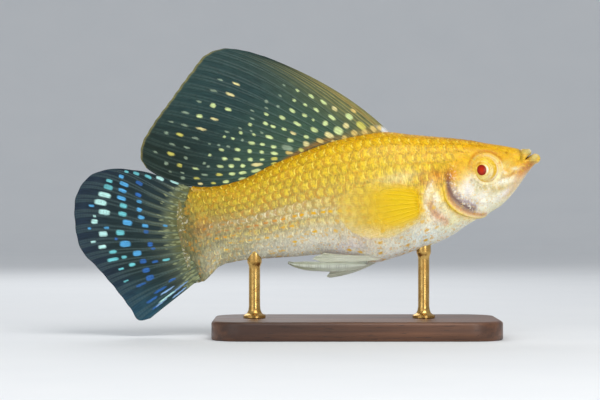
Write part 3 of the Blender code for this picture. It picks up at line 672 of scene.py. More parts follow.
# %% Patches and bands
HEAD_PAINT_END = 37.0
PATCHES = (  # station, height, half length, half height, turn, colour, strength
    (9.0, 3.4, 4.4, 1.8, 20, (222, 172, 0), 1.0),  # yellow top of the snout
    (7.6, 0.4, 2.0, 2.2, 0, (232, 180, 50), 0.8),  # side of the snout
    (9.8, -1.7, 1.9, 0.7, -12, (222, 156, 58), 0.7),
    (5.8, -2.8, 3.4, 1.5, -45, (212, 140, 58), 0.9),  # tan lower jaw
    (9.6, -6.6, 3.6, 1.1, -36, (222, 176, 110), 0.75),
    (3.2, -1.4, 1.9, 1.1, -40, (192, 104, 24), 0.9),
    (3.4, 2.1, 1.8, 1.3, 20, (190, 172, 100), 1.0),  # olive lips with pale tips
    (2.1, 2.4, 0.6, 0.8, 30, (240, 232, 190), 0.95),
    (1.7, 0.2, 1.7, 1.0, -35, (204, 188, 112), 1.0),
    (0.9, 0.9, 0.9, 0.5, -20, (236, 226, 170), 0.7),
    (8.8, -3.0, 2.0, 0.5, -16, (214, 154, 50), 0.85),
    (7.6, -1.6, 1.0, 0.45, 12, (255, 244, 200), 0.85),
    (10.6, 2.2, 1.4, 1.6, 0, (216, 164, 10), 0.5),
    (9.9, -0.3, 1.7, 1.3, 0, (240, 216, 136), 0.6),
    (16.0, -4.1, 2.4, 0.6, 0, (250, 242, 200), 0.75),
    (20.6, -4.4, 4.2, 2.7, -42, (255, 250, 244), 0.95),  # bright white cheek
    (18.0, -7.2, 4.2, 1.8, -30, (252, 247, 232), 0.85),
    (14.9, -5.3, 4.0, 1.0, 8, (216, 196, 134), 0.85),  # mottled cream under the eye
    (11.8, -4.3, 3.0, 0.65, 2, (255, 252, 232), 0.95),  # white band below it
    (12.2, -6.2, 3.0, 0.7, -10, (212, 192, 130), 0.75),
    (12.0, -7.6, 3.0, 0.7, -26, (255, 252, 244), 0.7),
    (18.6, -4.1, 0.6, 1.8, 14, (196, 192, 142), 0.8),
    (19.8, -2.9, 0.5, 1.9, 20, (214, 208, 166), 0.4),
    (24.6, 0.3, 1.7, 1.9, 10, (214, 128, 0), 0.85),  # burnt orange above the cover
    (25.6, -0.3, 1.0, 1.6, 0, (150, 72, 12), 0.85),
    (22.4, 2.2, 2.0, 1.6, 0, (226, 160, 40), 0.5),
    (28.6, 0.8, 1.5, 2.2, 0, (204, 124, 0), 1.0),  # gold behind the cover
    (31.8, 0.3, 2.1, 2.4, 0, (198, 130, 0), 1.0),
    (38.0, 2.2, 5.5, 2.0, 0, (238, 230, 178), 0.45),  # pale stripe above the side fin
    (30.5, -3.6, 1.2, 2.5, -14, (252, 228, 156), 0.9),  # cream arch behind the gills
    (30.6, -9.2, 1.3, 2.2, 10, (192, 150, 146), 0.85),
    (34.6, -5.0, 1.4, 3.4, -10, (250, 206, 0), 1.0),  # yellow root of the side fin
    (37.0, -2.4, 4.0, 2.0, 0, (246, 206, 20), 0.8),
    (29.9, -5.2, 0.7, 1.6, 0, (255, 252, 240), 0.8),
    (28.0, -8.0, 1.0, 2.0, 40, (252, 240, 190), 0.8),
    (27.0, -11.8, 3.4, 1.5, -24, (248, 242, 188), 0.9),
    (38.0, -13.4, 7.5, 2.4, 4, (224, 242, 244), 0.75),  # bluish white belly
    (41.0, -14.6, 4.5, 1.5, 8, (244, 248, 238), 0.8),
    (54.0, -12.8, 9.0, 2.4, -14, (222, 212, 222), 0.6),
    (43.0, -8.0, 8.0, 5.0, -8, (240, 200, 56), 0.7),  # yellow glow under the side fin
    (85.0, -7.4, 7.0, 2.0, -6, (150, 148, 106), 0.5),  # shaded underside of the stalk
    (92.5, 0.4, 2.4, 1.6, 0, (186, 112, 50), 0.35),  # rusty end of the side line
)


def patch(points, s, h, length, height, turn):
    """A bell in the side view, stretched along its own turned axes."""
    a = math.radians(turn)
    ds, dh = points[..., 0] - s, points[..., 2] - h
    lengthwise = ds * math.cos(a) + dh * math.sin(a)
    crosswise = dh * math.cos(a) - ds * math.sin(a)
    return np.exp(-((lengthwise / length) ** 2) - (crosswise / height) ** 2)


def blend(colour, over, share):
    """A second colour laid over the first by its share."""
    return colour + (np.asarray(over) - colour) * np.asarray(share)[..., None]


def layered(colour, layers):
    """The colour with each pair of a tone and a share laid over it in turn."""
    for tone, share in layers:
        colour = blend(colour, rgb(*tone), share)
    return colour


def flood(tone, shape):
    """One tone at every place of a grid of the given shape."""
    return np.broadcast_to(rgb(*tone), tuple(shape) + (3,))


def cover_bands(points, theta):
    """Bands along the gill cover's rim, dark crescent and bony arch: bells of the distance to each."""
    rim, rim_share = to_line(points, theta, COVER_RIM)
    dark, dark_share = to_line(points, theta, DARK_CRESCENT)
    arch, arch_share = to_line(points, theta, GILL_ARCH)
    low_rim = step(0.2, 0.36, rim_share) * (1 - step(0.86, 0.97, rim_share))
    dark_on = ends_faded(dark_share, 0.06, 0.16) * bell(dark / (0.65 + 0.5 * dark_share), 1.1)
    return (
        ((214, 146, 88), 0.85 * low_rim * bell(rim - 1.3, 0.7)),  # peach inside the rim
        ((106, 66, 70), 0.9 * dark_on),
        ((160, 146, 168), 0.6 * ends_faded(dark_share, 0.3, 0.2) * bell(dark - 1.2, 0.7)),
        ((252, 236, 176), 0.8 * low_rim * step(0.4, 0.7, rim_share) * bell(rim + 0.6, 1.1)),
        ((255, 212, 44), (0.95 - 0.5 * step(0.5, 0.8, rim_share)) * low_rim * bell(rim - 0.1, 0.65)),
        ((254, 240, 204), 0.8 * ends_faded(arch_share, 0.35, 0.2) * bell(arch - 0.2, 0.7)),
        ((218, 160, 122), 0.85 * step(0.38, 0.5, arch_share) * bell(arch - 1.4, 0.85)),
    )


def eye_rings(points):
    """Cream and amber rings round the eye, each on some of its sides: bells of the distance from its axis."""
    radius, above = from_eye(points)
    behind = points[..., 0] - eye_centre[0]
    ahead, around = step(1.5, -1.5, behind), step(-1.5, 2.0, behind)
    dashes = 0.7 + 0.3 * np.sin(np.arctan2(above, behind) * 22)
    return (
        ((230, 186, 70), 0.8 * bell(radius - 3.6, 0.5) * step(-2.0, 0.5, above)),
        ((248, 232, 180), 0.8 * bell(radius - 3.8, 0.6) * step(0.5, -2.0, above)),
        ((250, 232, 170), 0.7 * bell(radius - 3.6, 0.3) * ahead),
        ((248, 232, 180), 0.8 * bell(radius - 4.4, 0.24) * ahead * step(3.0, 0.5, above)),
        ((194, 118, 20), 0.75 * bell(radius - 4.85, 0.4) * step(0.0, 2.5, above)),
        # a thin pale line along the top of the eye's rim: a painted highlight
        ((250, 216, 116), 0.7 * bell(radius - 4.15, 0.2) * step(-0.5, 2.0, above) * step(3.5, -1.0, behind)),
        ((172, 162, 108), 0.6 * bell(radius - 4.25, 0.26) * around * dashes),
        ((186, 172, 116), 0.55 * bell(radius - 5.1, 0.3) * step(-0.5, -2.5, above) * step(-2.0, 1.5, behind)),
    )


def painted(points, theta):
    """The body's colour at each point: base tone, then patches, then the bands and rings of the head."""
    s, h = points[..., 0], points[..., 2]
    top, bottom = section(np.clip(s, 6.0, 98.0))[:2]
    colour = base_tone(s, np.clip((h - bottom) / (top - bottom), 0, 1))
    for ps, ph, length, height, turn, tint, strength in PATCHES:
        colour = blend(colour, rgb(*tint), strength * patch(points, ps, ph, length, height, turn))
    end = step(91.0, 96.5, s + 0.5 * np.sin(1.9 * h))  # olive root of the tail, with a wavy front
    colour = layered(colour, (((108, 106, 62), 0.85 * end * step(-10.0, -5.0, h)),
                              ((86, 94, 50), 0.85 * end * step(-5.0, -10.0, h))))
    front = s < HEAD_PAINT_END
    near, near_theta = points[front], theta[front]
    crease, crease_share = to_line(near, near_theta, LIP_FOLD, spread=0)
    crease_band = ((146, 112, 20), 0.7 * ends_faded(crease_share, 0.05, 0.3) * bell(crease, 0.35))
    tinted = layered(colour[front], (*cover_bands(near, near_theta), crease_band, *eye_rings(near)))
    for ns, nh, size in NOSTRILS:
        gap = np.hypot(near[..., 0] - ns, near[..., 2] - nh)
        tinted = blend(tinted, rgb(176, 116, 30), 0.5 * (1 - step(size - 0.1, size + 0.2, gap)))
    colour[front] = tinted
    return np.clip(colour, 0, 1)


sample = painted(plain_skin(np.array([44.0]), np.array([1.2])), np.array([1.2]))
print("Painted tone on the upper flank:", sample.round(2))

# %% [markdown]
# ## The skin's finish
# Fish skin is thin, wet and slightly see-through, so light softens inside it and a clear film of slime
# shines on top. The painted colour gets mottling at several scales, warm on golden parts and cool on pearly
# ones. Grains of pigment glitter where an attribute asks for them, fine pores give the bump, and a coat adds
# the wet gloss.

# %% Skin material


def wet_skin():
    """Painted colour with mottling and pigment grains, under a thin gloss."""
    f = Finish("wet_skin", Specular_IOR_Level=0.16, Coat_Weight=0.1, Coat_Roughness=0.1,
               Subsurface_Weight=0.08, Subsurface_Radius=(1.0, 0.5, 0.25), Subsurface_Scale=0.0005)
    paint = f.mark("paint", "Color")
    pearly = f.span(f.part(paint, 2), 0.18, 0.5)
    golden_part = f.times(f.calc("SUBTRACT", 1.0, pearly), f.span(f.part(paint, 0), 0.25, 0.6))
    blotches = f.span(f.noise(1.6, 4.0), 0.32, 0.68, 0.88, 1.08)
    glitter = f.span(f.flakes(0.32), 0.0, 1.0, 0.93, 1.06)
    colour = f.mix(1.0, paint, f.tint(f.times(blotches, glitter)), "MULTIPLY")
    warm, light = f.noise(0.8, 4.0), f.noise(0.55, 3.0)
    colour = f.over(colour, rgb(208, 128, 28), f.span(warm, 0.5, 0.68, 0.0, 0.5), golden_part)
    colour = f.over(colour, rgb(255, 220, 60), f.span(light, 0.54, 0.7, 0.0, 0.4), golden_part)
    colour = f.over(colour, rgb(206, 184, 182), f.span(warm, 0.54, 0.7, 0.0, 0.35), pearly)
    colour = f.over(colour, rgb(240, 200, 96), f.span(light, 0.55, 0.64, 0.0, 0.5), pearly)
    speckle, fine, flecks = f.mark("speckle"), f.noise(0.75, 4.0), f.noise(0.6, 3.0)
    colour = f.over(colour, rgb(252, 246, 226), f.span(fine, 0.54, 0.62, 0.0, 0.9), speckle)
    colour = f.over(colour, rgb(158, 112, 96), f.span(fine, 0.46, 0.38, 0.0, 0.6), speckle)
    colour = f.over(colour, rgb(246, 208, 84), f.span(flecks, 0.58, 0.66, 0.0, 0.7), speckle)
    f.into(colour, "Base Color")
    f.into(f.span(f.noise(0.9, 3.0), 0.3, 0.7, 0.3, 0.48), "Roughness")
    f.bump(f.calc("ADD", f.noise(0.5, 3.0), f.noise(0.15, 2.0)), 0.5, 0.07)
    return f.material


skin_finish = wet_skin()
print("Skin finish has", len(skin_finish.node_tree.nodes), "nodes")

# %% [markdown]
# ## The skin itself
# The first ring closes on one point at the bottom of the mouth and the last ring, almost flat, is stitched
# left to right under the tail fin's root. This one piece stands for the head, trunk, stalk and both gill
# covers.

# %% Build the skin


def speckles(points, theta):
    """Where the skin glitters in grains: on the dark crescent, under the eye and on the arch behind it."""
    dark, share = to_line(points, theta, DARK_CRESCENT)
    arch, arch_share = to_line(points, theta, GILL_ARCH)
    radius, above = from_eye(points)
    grains = 0.8 * ends_faded(share, 0.1, 0.1) * bell(dark - 1.5, 1.1)
    grains = np.maximum(grains, 0.75 * step(0.35, 0.7, share) * bell(dark - 0.3, 1.0))
    grains = np.maximum(grains, 0.6 * bell(radius - 5.0, 1.0) * step(0.5, -2.5, above))
    grains = np.maximum(grains, 0.7 * ends_faded(arch_share, 0.2, 0.1) * bell(arch, 1.4))
    return np.maximum(grains, 0.5 * patch(points, 25.4, 0.0, 2.4, 2.4, 0))


skin_points = skin_grid.reshape(-1, 3)
mouth_pole = np.array([[MOUTH_END[0], 0.0, MOUTH_END[1]]])
pole = len(skin_points)
k = np.arange(1, SIDES // 2 - 1)
stitch = (ROWS - 1) * SIDES + np.stack([k, k + 1, SIDES - k - 1, SIDES - k], axis=-1)
half = SIDES // 2
end_caps = (ROWS - 1) * SIDES + np.array([(0, 1, SIDES - 1), (half - 1, half, half + 1)])
inner_rows = len(pocket) + 5
mouth_inside = np.zeros(base_grid.shape[:2])
mouth_inside[:inner_rows] = np.linspace(1, 0, inner_rows)[:, None]
skin_paint = blend(painted(base_grid, theta_grid), rgb(170, 146, 84), 0.9 * mouth_inside).reshape(-1, 3)
grain_mark = np.zeros(base_grid.shape[:2])
grain_mark[on_head] = speckles(base_grid[on_head], theta_grid[on_head])
grain_mark[head_rows:] = 0.4 * step(93.5, 96.0, base_grid[head_rows:, :, 0])
piece("skin", placed(np.concatenate([skin_points, mouth_pole])),
      [grid_faces(ROWS, SIDES, wrap=True), fan_faces(np.arange(SIDES)[::-1], pole), stitch, end_caps],
      skin_finish, ("head", "trunk", "tail_stalk", "gill_cover_right", "gill_cover_left"),
      {"paint": np.concatenate([skin_paint, rgb(160, 120, 80)[None]]), "speckle": np.append(grain_mark, 0.0)})

# %% [markdown]
# ## Where each scale sits
# A molly has about twenty-eight scales along its side. Rows are spaced by equal shares of the girth, so they
# draw together towards the narrow stalk as on the real fish, and every second row is shifted by half a
# scale. A table of the girth turns a share of it back into the angle theta. The last scales reach a little
# past the stalk's end.

# %% Girth table and lattice
GIRTH_STATIONS = np.linspace(9.0, 98.0, 179)
GIRTH_STEPS = np.linspace(0, math.pi, 241)
girth_run = np.linalg.norm(np.diff(plain_skin(GIRTH_STATIONS[:, None], GIRTH_STEPS[None]), axis=1), axis=-1)
girth_share = np.concatenate([np.zeros((len(girth_run), 1)), girth_run.cumsum(axis=1)], axis=1)
girth_share /= girth_run.sum(axis=1)[:, None]
GIRTH_GRID = np.linspace(0, 1, 201)
girth_theta = np.stack([np.interp(GIRTH_GRID, row, GIRTH_STEPS) for row in girth_share])


def theta_for(s, g):
    """Theta at a share g of the half girth, read from the table and blended between its entries both ways."""
    last_i, last_j = len(GIRTH_STATIONS) - 1, len(GIRTH_GRID) - 1
    i = np.clip((s - GIRTH_STATIONS[0]) / (GIRTH_STATIONS[1] - GIRTH_STATIONS[0]), 0, last_i - 0.001)
    j = np.clip(g * last_j, 0, last_j - 0.001)
    i0, j0 = i.astype(int), j.astype(int)
    a, b = i - i0, j - j0
    low = girth_theta[i0, j0] * (1 - b) + girth_theta[i0, j0 + 1] * b
    high = girth_theta[i0 + 1, j0] * (1 - b) + girth_theta[i0 + 1, j0 + 1] * b
    return low * (1 - a) + high * a


SCALE_ROWS = 13
SCALE_PITCH = 2.5
SCALE_COLUMNS = 33
LAST_SCALE, LAST_OVERHANG = 97.6, 0.4
column, row = np.meshgrid(np.arange(SCALE_COLUMNS), np.arange(SCALE_ROWS), indexing="ij")
tip_s = LAST_SCALE - SCALE_PITCH * (column + 0.5 * (row % 2))
row_g = (row + 0.5) / SCALE_ROWS
tip_theta = theta_for(tip_s, row_g)
tip_h = plain_skin(tip_s, tip_theta)[..., 2]
keep = (tip_s > coat_front(tip_theta)) & (tip_s < stalk_end(tip_h) + LAST_OVERHANG)
print("Scales on each side:", int(keep.sum()))

# %% [markdown]
# ## One scale, repeated
# A scale is a thin curved plate: its root is tucked under its neighbours and its round rear edge stands
# free. The plate is a small grid of its own, from root to edge and from side to side, with a rim and an
# underside, and the same grid is laid at every place of the lattice at once by adding one more array axis.
# Past the stalk's end the coat narrows as the skin does.

# %% Shape of a scale
U_STEPS = np.array([0.0, 0.25, 0.45, 0.63, 0.78, 0.9, 1.0])
V_STEPS = np.array([-1.0, -0.72, -0.38, 0.0, 0.38, 0.72, 1.0])
SCALE_LENGTH, SCALE_SUNK, SCALE_THICK = 2.35 * SCALE_PITCH, 0.06, 0.09
LENGTH_ALONG_FISH = (14, 20, 34, 80, 97), (0.62, 0.86, 1.04, 1.0, 0.72)
NU, NV = len(U_STEPS), len(V_STEPS)
tile = np.arange(NU * NV).reshape(NU, NV)
rim_ids = np.concatenate([tile[0], tile[1:, -1], tile[-1, -2::-1], tile[-2:0:-1, 0]])
RIM = len(rim_ids)
top_faces = grid_faces(NU, NV)
under = NU * NV + np.arange(RIM)
rim_faces = np.stack([rim_ids, np.roll(rim_ids, -1), np.roll(under, -1), under], axis=-1)[:, ::-1]


def scale_points(s0, g0, side):
    """Points of many scales: a runs back from the root and b across, laid on the skin and lifted with u."""
    u, v = U_STEPS[:, None], V_STEPS[None, :]
    a = SCALE_LENGTH * (u * (1 - 0.34 * np.abs(v) ** 2.4) - 1.0)
    b = 0.84 * v * (0.86 + 0.14 * np.sin(math.pi * u)) * (1 - 0.1 * u * np.abs(v))
    lift = 0.24 * u ** 1.1 * (1 - 0.26 * v ** 2)
    s = s0[:, None, None] + a * np.interp(s0, *LENGTH_ALONG_FISH)[:, None, None]
    g = np.clip(g0[:, None, None] + b / SCALE_ROWS, 0.0, 0.995)
    theta = theta_for(s, g)
    top, low = (raised(s, theta, np.broadcast_to(lift, s.shape) - sunk).reshape(len(s0), -1, 3)
                for sunk in (SCALE_SUNK, SCALE_SUNK + SCALE_THICK))
    both = np.concatenate([top, low[:, rim_ids]], axis=1)
    past = np.clip((both[..., 0] - stalk_end(both[..., 2])) / CLOSING, 0, 0.97)
    both[..., 1] *= side * np.sqrt(1 - past ** 2)
    angles = theta.reshape(len(s0), -1)
    return both, np.concatenate([angles, angles[:, rim_ids]], axis=1)


print("A scale has", NU * NV + RIM, "points and", len(top_faces) + RIM + 1, "faces")

# %% [markdown]
# ## The finish of the scales
# Each scale carries its own coordinates, along and across, so the material can draw a tan band and a bright
# lip at the free edge and fine growth rings whatever the scale's size. The band is partly pigment and partly
# painted shade; the lip and the white glints on pearly scales are painted highlights, and the pale middle is
# partly one. One chance value for each scale makes it a little lighter or darker, noise stretched down the
# flank breaks the edges into threads, and orange spots sit on some rows.

# %% Scale material


def scale_finish():
    """Painted colour, tan rear band, bright lip, pale middle, orange spot and growth rings."""
    f = Finish("golden_scales", Specular_IOR_Level=0.16, Coat_Weight=0.1, Coat_Roughness=0.08,
               Subsurface_Weight=0.06, Subsurface_Radius=(1.0, 0.5, 0.25), Subsurface_Scale=0.0005)
    paint, rim, luck = f.mark("paint", "Color"), f.mark("rim"), f.mark("chance")
    u, v = f.mark("along"), f.mark("across")
    v_squared = f.times(v, v)
    reach = f.calc("ADD", u, f.times(v_squared, v_squared, 0.1))
    threads = f.noise(1.0, 4.0, f.stretched((2500, 2500, 850)))
    wander = f.span(f.noise(0.6, 3.0), 0.3, 0.7, -0.1, 0.07)
    bright = f.span(f.part(paint, 0), 0.2, 0.5)
    pearly = f.calc("MAXIMUM", f.span(f.part(paint, 2), 0.1, 0.45), f.mark("glow"))
    # the painted colour, with grain
    grain = f.mix(pearly, (0.7, 0.7, 0.7), (0.92, 0.92, 0.92))
    grain = f.span(threads, 0.34, 0.66, f.part(grain, 0), 1.18)
    glitter = f.times(f.span(f.flakes(0.3), 0.0, 1.0, 0.92, 1.06), grain, f.span(luck, 0.0, 1.0, 0.88, 1.08))
    colour = f.mix(1.0, paint, f.tint(glitter), "MULTIPLY")
    colour = f.over(colour, rgb(222, 148, 16), f.span(f.noise(0.9, 4.0), 0.5, 0.68, 0.0, 0.4),
                    f.span(pearly, 0.0, 1.0, 1.0, 0.25))
    # the pale middle, partly a painted highlight, and the tan band behind it, partly painted shade
    middle = f.times(f.span(f.calc("ADD", v_squared, wander), 0.0, 0.4, 1.0, 0.0),
                     f.span(u, 0.46, 0.62), f.span(u, 0.82, 0.68),
                     f.span(f.noise(0.5, 3.0), 0.36, 0.58, 0.2, 1.0),
                     f.span(f.part(paint, 1), 0.22, 0.42), f.span(rim, 0.06, 0.35, 0.3, 1.0))
    colour = f.over(colour, f.mix(pearly, rgb(255, 220, 44), rgb(246, 248, 226)), middle, 0.55)
    band = f.times(f.span(f.calc("ADD", reach, wander), 0.72, 0.88), rim,
                   f.span(v_squared, 0.1, 0.9, 1.0, 0.4), f.span(threads, 0.35, 0.6, 0.65, 1.15), bright,
                   f.span(luck, 0.1, 0.9, 0.5, 1.0))
    colour = f.over(colour, f.mix(pearly, rgb(192, 130, 30), rgb(180, 150, 126)), band)
    # white glints, a painted highlight where the threads run high, and amber flecks on the pearly flank
    colour = f.over(colour, rgb(240, 242, 226), f.span(threads, 0.58, 0.7, 0.0, 0.4), pearly)
    colour = f.over(colour, rgb(234, 184, 66), f.span(f.noise(0.75, 3.0), 0.57, 0.64, 0.0, 0.6), pearly,
                    bright)
    # the bright lip, a painted highlight on the free edge, broken by the threads and fading to the sides
    colour = f.over(colour, f.mix(pearly, rgb(255, 232, 92), rgb(252, 246, 214)), f.span(reach, 0.9, 0.95),
                    f.span(threads, 0.4, 0.6, 0.1, 0.8), f.span(v_squared, 0.03, 0.5, 1.0, 0.12), bright)
    # the orange spot, an oval with a wandering edge, a little further back on some scales
    spot_middle = f.span(luck, 0.0, 1.0, 0.7, 0.84)
    lengthwise = f.calc("POWER", f.calc("DIVIDE", f.calc("SUBTRACT", u, spot_middle), 0.12), 2.0)
    spot_far = f.calc("ADD", lengthwise, f.calc("DIVIDE", v_squared, 0.05))
    spot_far = f.calc("ADD", spot_far, f.span(f.noise(0.4, 2.0), 0.3, 0.7, -0.35, 0.35))
    spot_tone = f.mix(f.mark("rust"), rgb(238, 186, 24), rgb(206, 112, 20))
    f.into(f.over(colour, spot_tone, f.span(spot_far, 0.2, 1.3, 1.0, 0.0), f.mark("spot")), "Base Color")
    f.into(f.span(f.noise(0.8, 2.0), 0.3, 0.7, 0.26, 0.42), "Roughness")
    rings = f.calc("SINE", f.times(reach, 95.0))
    f.bump(f.calc("ADD", f.times(rings, 0.3), threads), 0.35, 0.04)
    return f.material


coat_finish = scale_finish()
print("Scale finish has", len(coat_finish.node_tree.nodes), "nodes")

# %% [markdown]
# ## Two coats of scales
# The right and the left coat are separate pieces with a little chance in each scale's place. Their UV map,
# named OFBake, gives each scale its own small cell at the place where its root sits when the skin is
# unrolled, with the underside in a narrow strip of the cell.

# %% Build the coats
generator = np.random.default_rng(2207)
BOTH_SIDES = (-1, "right"), (1, "left")
# strength along the fish of each scale's tan band, partly painted shade, and of its pale middle
RIM_MARK = (14, 24, 34, 60, 80, 97), (0.6, 0.55, 0.45, 0.62, 0.75, 0.5)


def spot_strength(s, row_number, chance):
    """Orange spots: a strong row along the side line and, by chance, others below it, none at the tail."""
    line = np.interp(s, (34, 50, 60, 80, 97), (8.2, 7.6, 7.1, 6.6, 6.3))
    main = bell(row_number - line, 0.55) * np.interp(s, (34, 44, 56, 92), (0.7, 1.0, 1.0, 1.0))
    lower = step(0.4, 1.2, row_number - line)
    lower *= np.interp(row_number, (7, 9, 11.8, 13.2), (1.0, 1.0, 0.85, 0.0))
    often = np.interp(s, (30, 44, 60, 80), (0.2, 0.2, 0.35, 0.45))
    return np.clip(main + lower * step(often, often + 0.6, chance), 0, 1) * step(96, 92, s)


def coat(side, word):
    """One side's coat: all of its scales as one mesh with a cell of the UV map for each."""
    s0, columns, level = tip_s[keep], column[keep], row[keep]
    count = len(s0)
    jitter = generator.random((3, count))
    moved_s, moved_g = s0 + 0.16 * (jitter[0] - 0.5), row_g[keep] + 0.006 * (jitter[1] - 0.5)
    points, angles = scale_points(moved_s, moved_g, side)
    per = points.shape[1]
    offsets = (np.arange(count) * per)[:, None, None]
    quads = (np.concatenate([top_faces, rim_faces])[None] + offsets).reshape(-1, 4)
    bottoms = (under[None, None] + offsets).reshape(-1, RIM)
    u, v = np.repeat(U_STEPS, NV), np.tile(V_STEPS, NU)
    top, low = section(points[..., 0])[:2]
    up = (points[..., 2] - low) / (top - low)
    rim_mark = np.interp(s0, *RIM_MARK)[:, None]
    rim_mark = rim_mark * (0.15 + 0.85 * step(0.2, 0.45, up)) * (1 - 0.45 * step(0.78, 0.95, up))
    rim_mark = rim_mark * (1 - 0.6 * patch(points, 41.0, 2.0, 9.0, 4.0, -6))
    glow = 0.95 * bell(level - 7.0 + 0.9 * step(50, 90, s0), 0.9) * step(52, 64, s0) * step(95, 88, s0)
    marks = {
        "paint": painted(points * [1, side, 1], angles).reshape(-1, 3), "rim": rim_mark.ravel(),
        "along": np.tile(np.append(u, u[rim_ids]), count), "across": np.tile(np.append(v, v[rim_ids]), count),
        "spot": np.repeat(spot_strength(s0, level, jitter[2]), per),
        "chance": np.repeat(generator.random(count), per), "glow": np.repeat(glow, per),
        "rust": np.repeat(step(58, 84, s0) * bell(level - 6.8, 1.4), per),
    }
    made = piece(f"scales_{word}", placed(points.reshape(-1, 3)), [quads, bottoms], coat_finish, (),
                 marks, 50)
    lay_out(made, columns + 0.5 * (level % 2), level, count)


def lay_out(made, across, up, count):
    """UV cells: a scale's top fills most of its cell, its rim edges that, its underside is a strip beside."""
    u, v = np.repeat(U_STEPS, NV), np.tile(V_STEPS, NU)
    top_uv = np.stack([0.05 + 0.76 * u, 0.5 + 0.42 * v], axis=-1)
    rim_uv = top_uv[rim_ids] + 0.035 * np.sign(top_uv[rim_ids] - [0.43, 0.5])
    local = np.concatenate([top_uv, rim_uv])
    strip = np.stack([0.9 + 0.07 * u[rim_ids], 0.5 + 0.42 * v[rim_ids]], axis=-1)
    mesh = made.data
    corners = np.empty(len(mesh.loops), np.int32)
    mesh.loops.foreach_get("vertex_index", corners)
    per = len(local)
    scale = corners // per
    uv = local[corners % per]
    first_under = (len(top_faces) + len(rim_faces)) * 4 * count
    uv[first_under:] = strip[(corners[first_under:] % per) - NU * NV]
    cell = np.stack([across, up], axis=-1)[scale]
    size = np.array([SCALE_COLUMNS + 0.5, SCALE_ROWS])
    layer = mesh.uv_layers.new(name="OFBake")
    layer.data.foreach_set("uv", ((cell + uv) / size).ravel().astype(np.float32))


for side, word in BOTH_SIDES:
    coat(side, word)

# %% [markdown]
# ## The eyes
# A glass eye is a flattened ball with the iris painted behind a clear front. Here the ball is one mesh. The
# iris is painted on its points, in bells of the angle round the pupil and of the distance from it. The pupil
# sits a little behind the middle and is red, as on gold and albino fish; its edge comes from a distance kept
# on the points. A white crescent just ahead of the pupil is a painted highlight, and the cream near the rim,
# ahead and a little below, is partly a painted reflection. A clear coat gives the shine.

# %% Eye material and mesh
PUPIL, PUPIL_OFF, PUPIL_LEAN = (1.16, 1.4), (1.55, 0.05), 2.0  # half sizes, place, degrees
IRIS = (  # direction, its spread, distance, its width, colour, strength
    (46, 46, 2.3, 1.1, (238, 204, 0), 1.0), (96, 26, 1.95, 0.4, (186, 122, 8), 0.8),
    (124, 24, 2.5, 0.4, (250, 236, 160), 0.8), (185, 30, 2.1, 0.7, (206, 178, 84), 0.7),
    (222, 40, 2.1, 0.8, (222, 204, 122), 0.8), (285, 50, 2.1, 0.8, (238, 222, 140), 0.9),
    # 0 degrees, 1.55 mm: a white crescent just ahead of the pupil, a painted highlight
    (312, 22, 2.6, 0.5, (198, 176, 150), 0.7), (0, 48, 1.55, 0.28, (255, 250, 232), 1.0),
    (0, 65, 2.35, 0.13, (240, 224, 166), 0.75), (20, 110, 2.62, 0.12, (200, 152, 62), 0.5),
    # 335 degrees, 2.8 mm: cream near the rim, ahead and a little below, partly a painted reflection
    (335, 36, 2.8, 0.4, (250, 234, 180), 0.85), (0, 70, 3.3, 0.12, (196, 160, 80), 0.5),
)


def eye_finish():
    """Painted iris with fine streaks and a red pupil with a crisp edge, under a clear coat."""
    f = Finish("glassy_eye", Roughness=0.25, Specular_IOR_Level=0.14, Coat_Weight=0.3, Coat_Roughness=0.02,
               Coat_IOR=1.4)
    pupil = f.mark("pupil")
    streaks = f.noise(0.45, 4.0)
    iris = f.mix(f.span(streaks, 0.5, 0.7, 0.0, 0.45), f.mark("paint", "Color"), rgb(206, 136, 20))
    iris = f.mix(f.span(streaks, 0.46, 0.34, 0.0, 0.4), iris, rgb(252, 232, 130))
    red = f.mix(f.span(pupil, 0.2, 1.0), rgb(186, 42, 4), rgb(134, 24, 0))
    f.into(f.mix(f.span(pupil, 1.06, 0.98), iris, red), "Base Color")
    f.bump(streaks, 0.2, 0.03)
    return f.material


def iris_paint(angle, far, ring):
    """Bells of the angle round the pupil (0 ahead, 90 up) times bells of the distance from it, over gold."""
    def toward(degrees, spread):
        """A bell of the angle from one direction."""
        turned = (angle - math.radians(degrees) + math.pi) % (2 * math.pi) - math.pi
        return bell(turned, math.radians(spread))
    bells = [(colour, share * toward(degrees, spread) * bell(far - distance, width))
             for degrees, spread, distance, width, colour, share in IRIS]
    # a gold outer ring, and cream near the rim ahead and a little below: paler iris and partly a painted
    # reflection
    rim = (((228, 184, 70), step(2.95, 3.35, ring)),
           ((252, 238, 206), 0.85 * toward(338, 44) * step(2.5, 3.0, ring)))
    return layered(flood((228, 182, 40), angle.shape), (*bells, *rim))


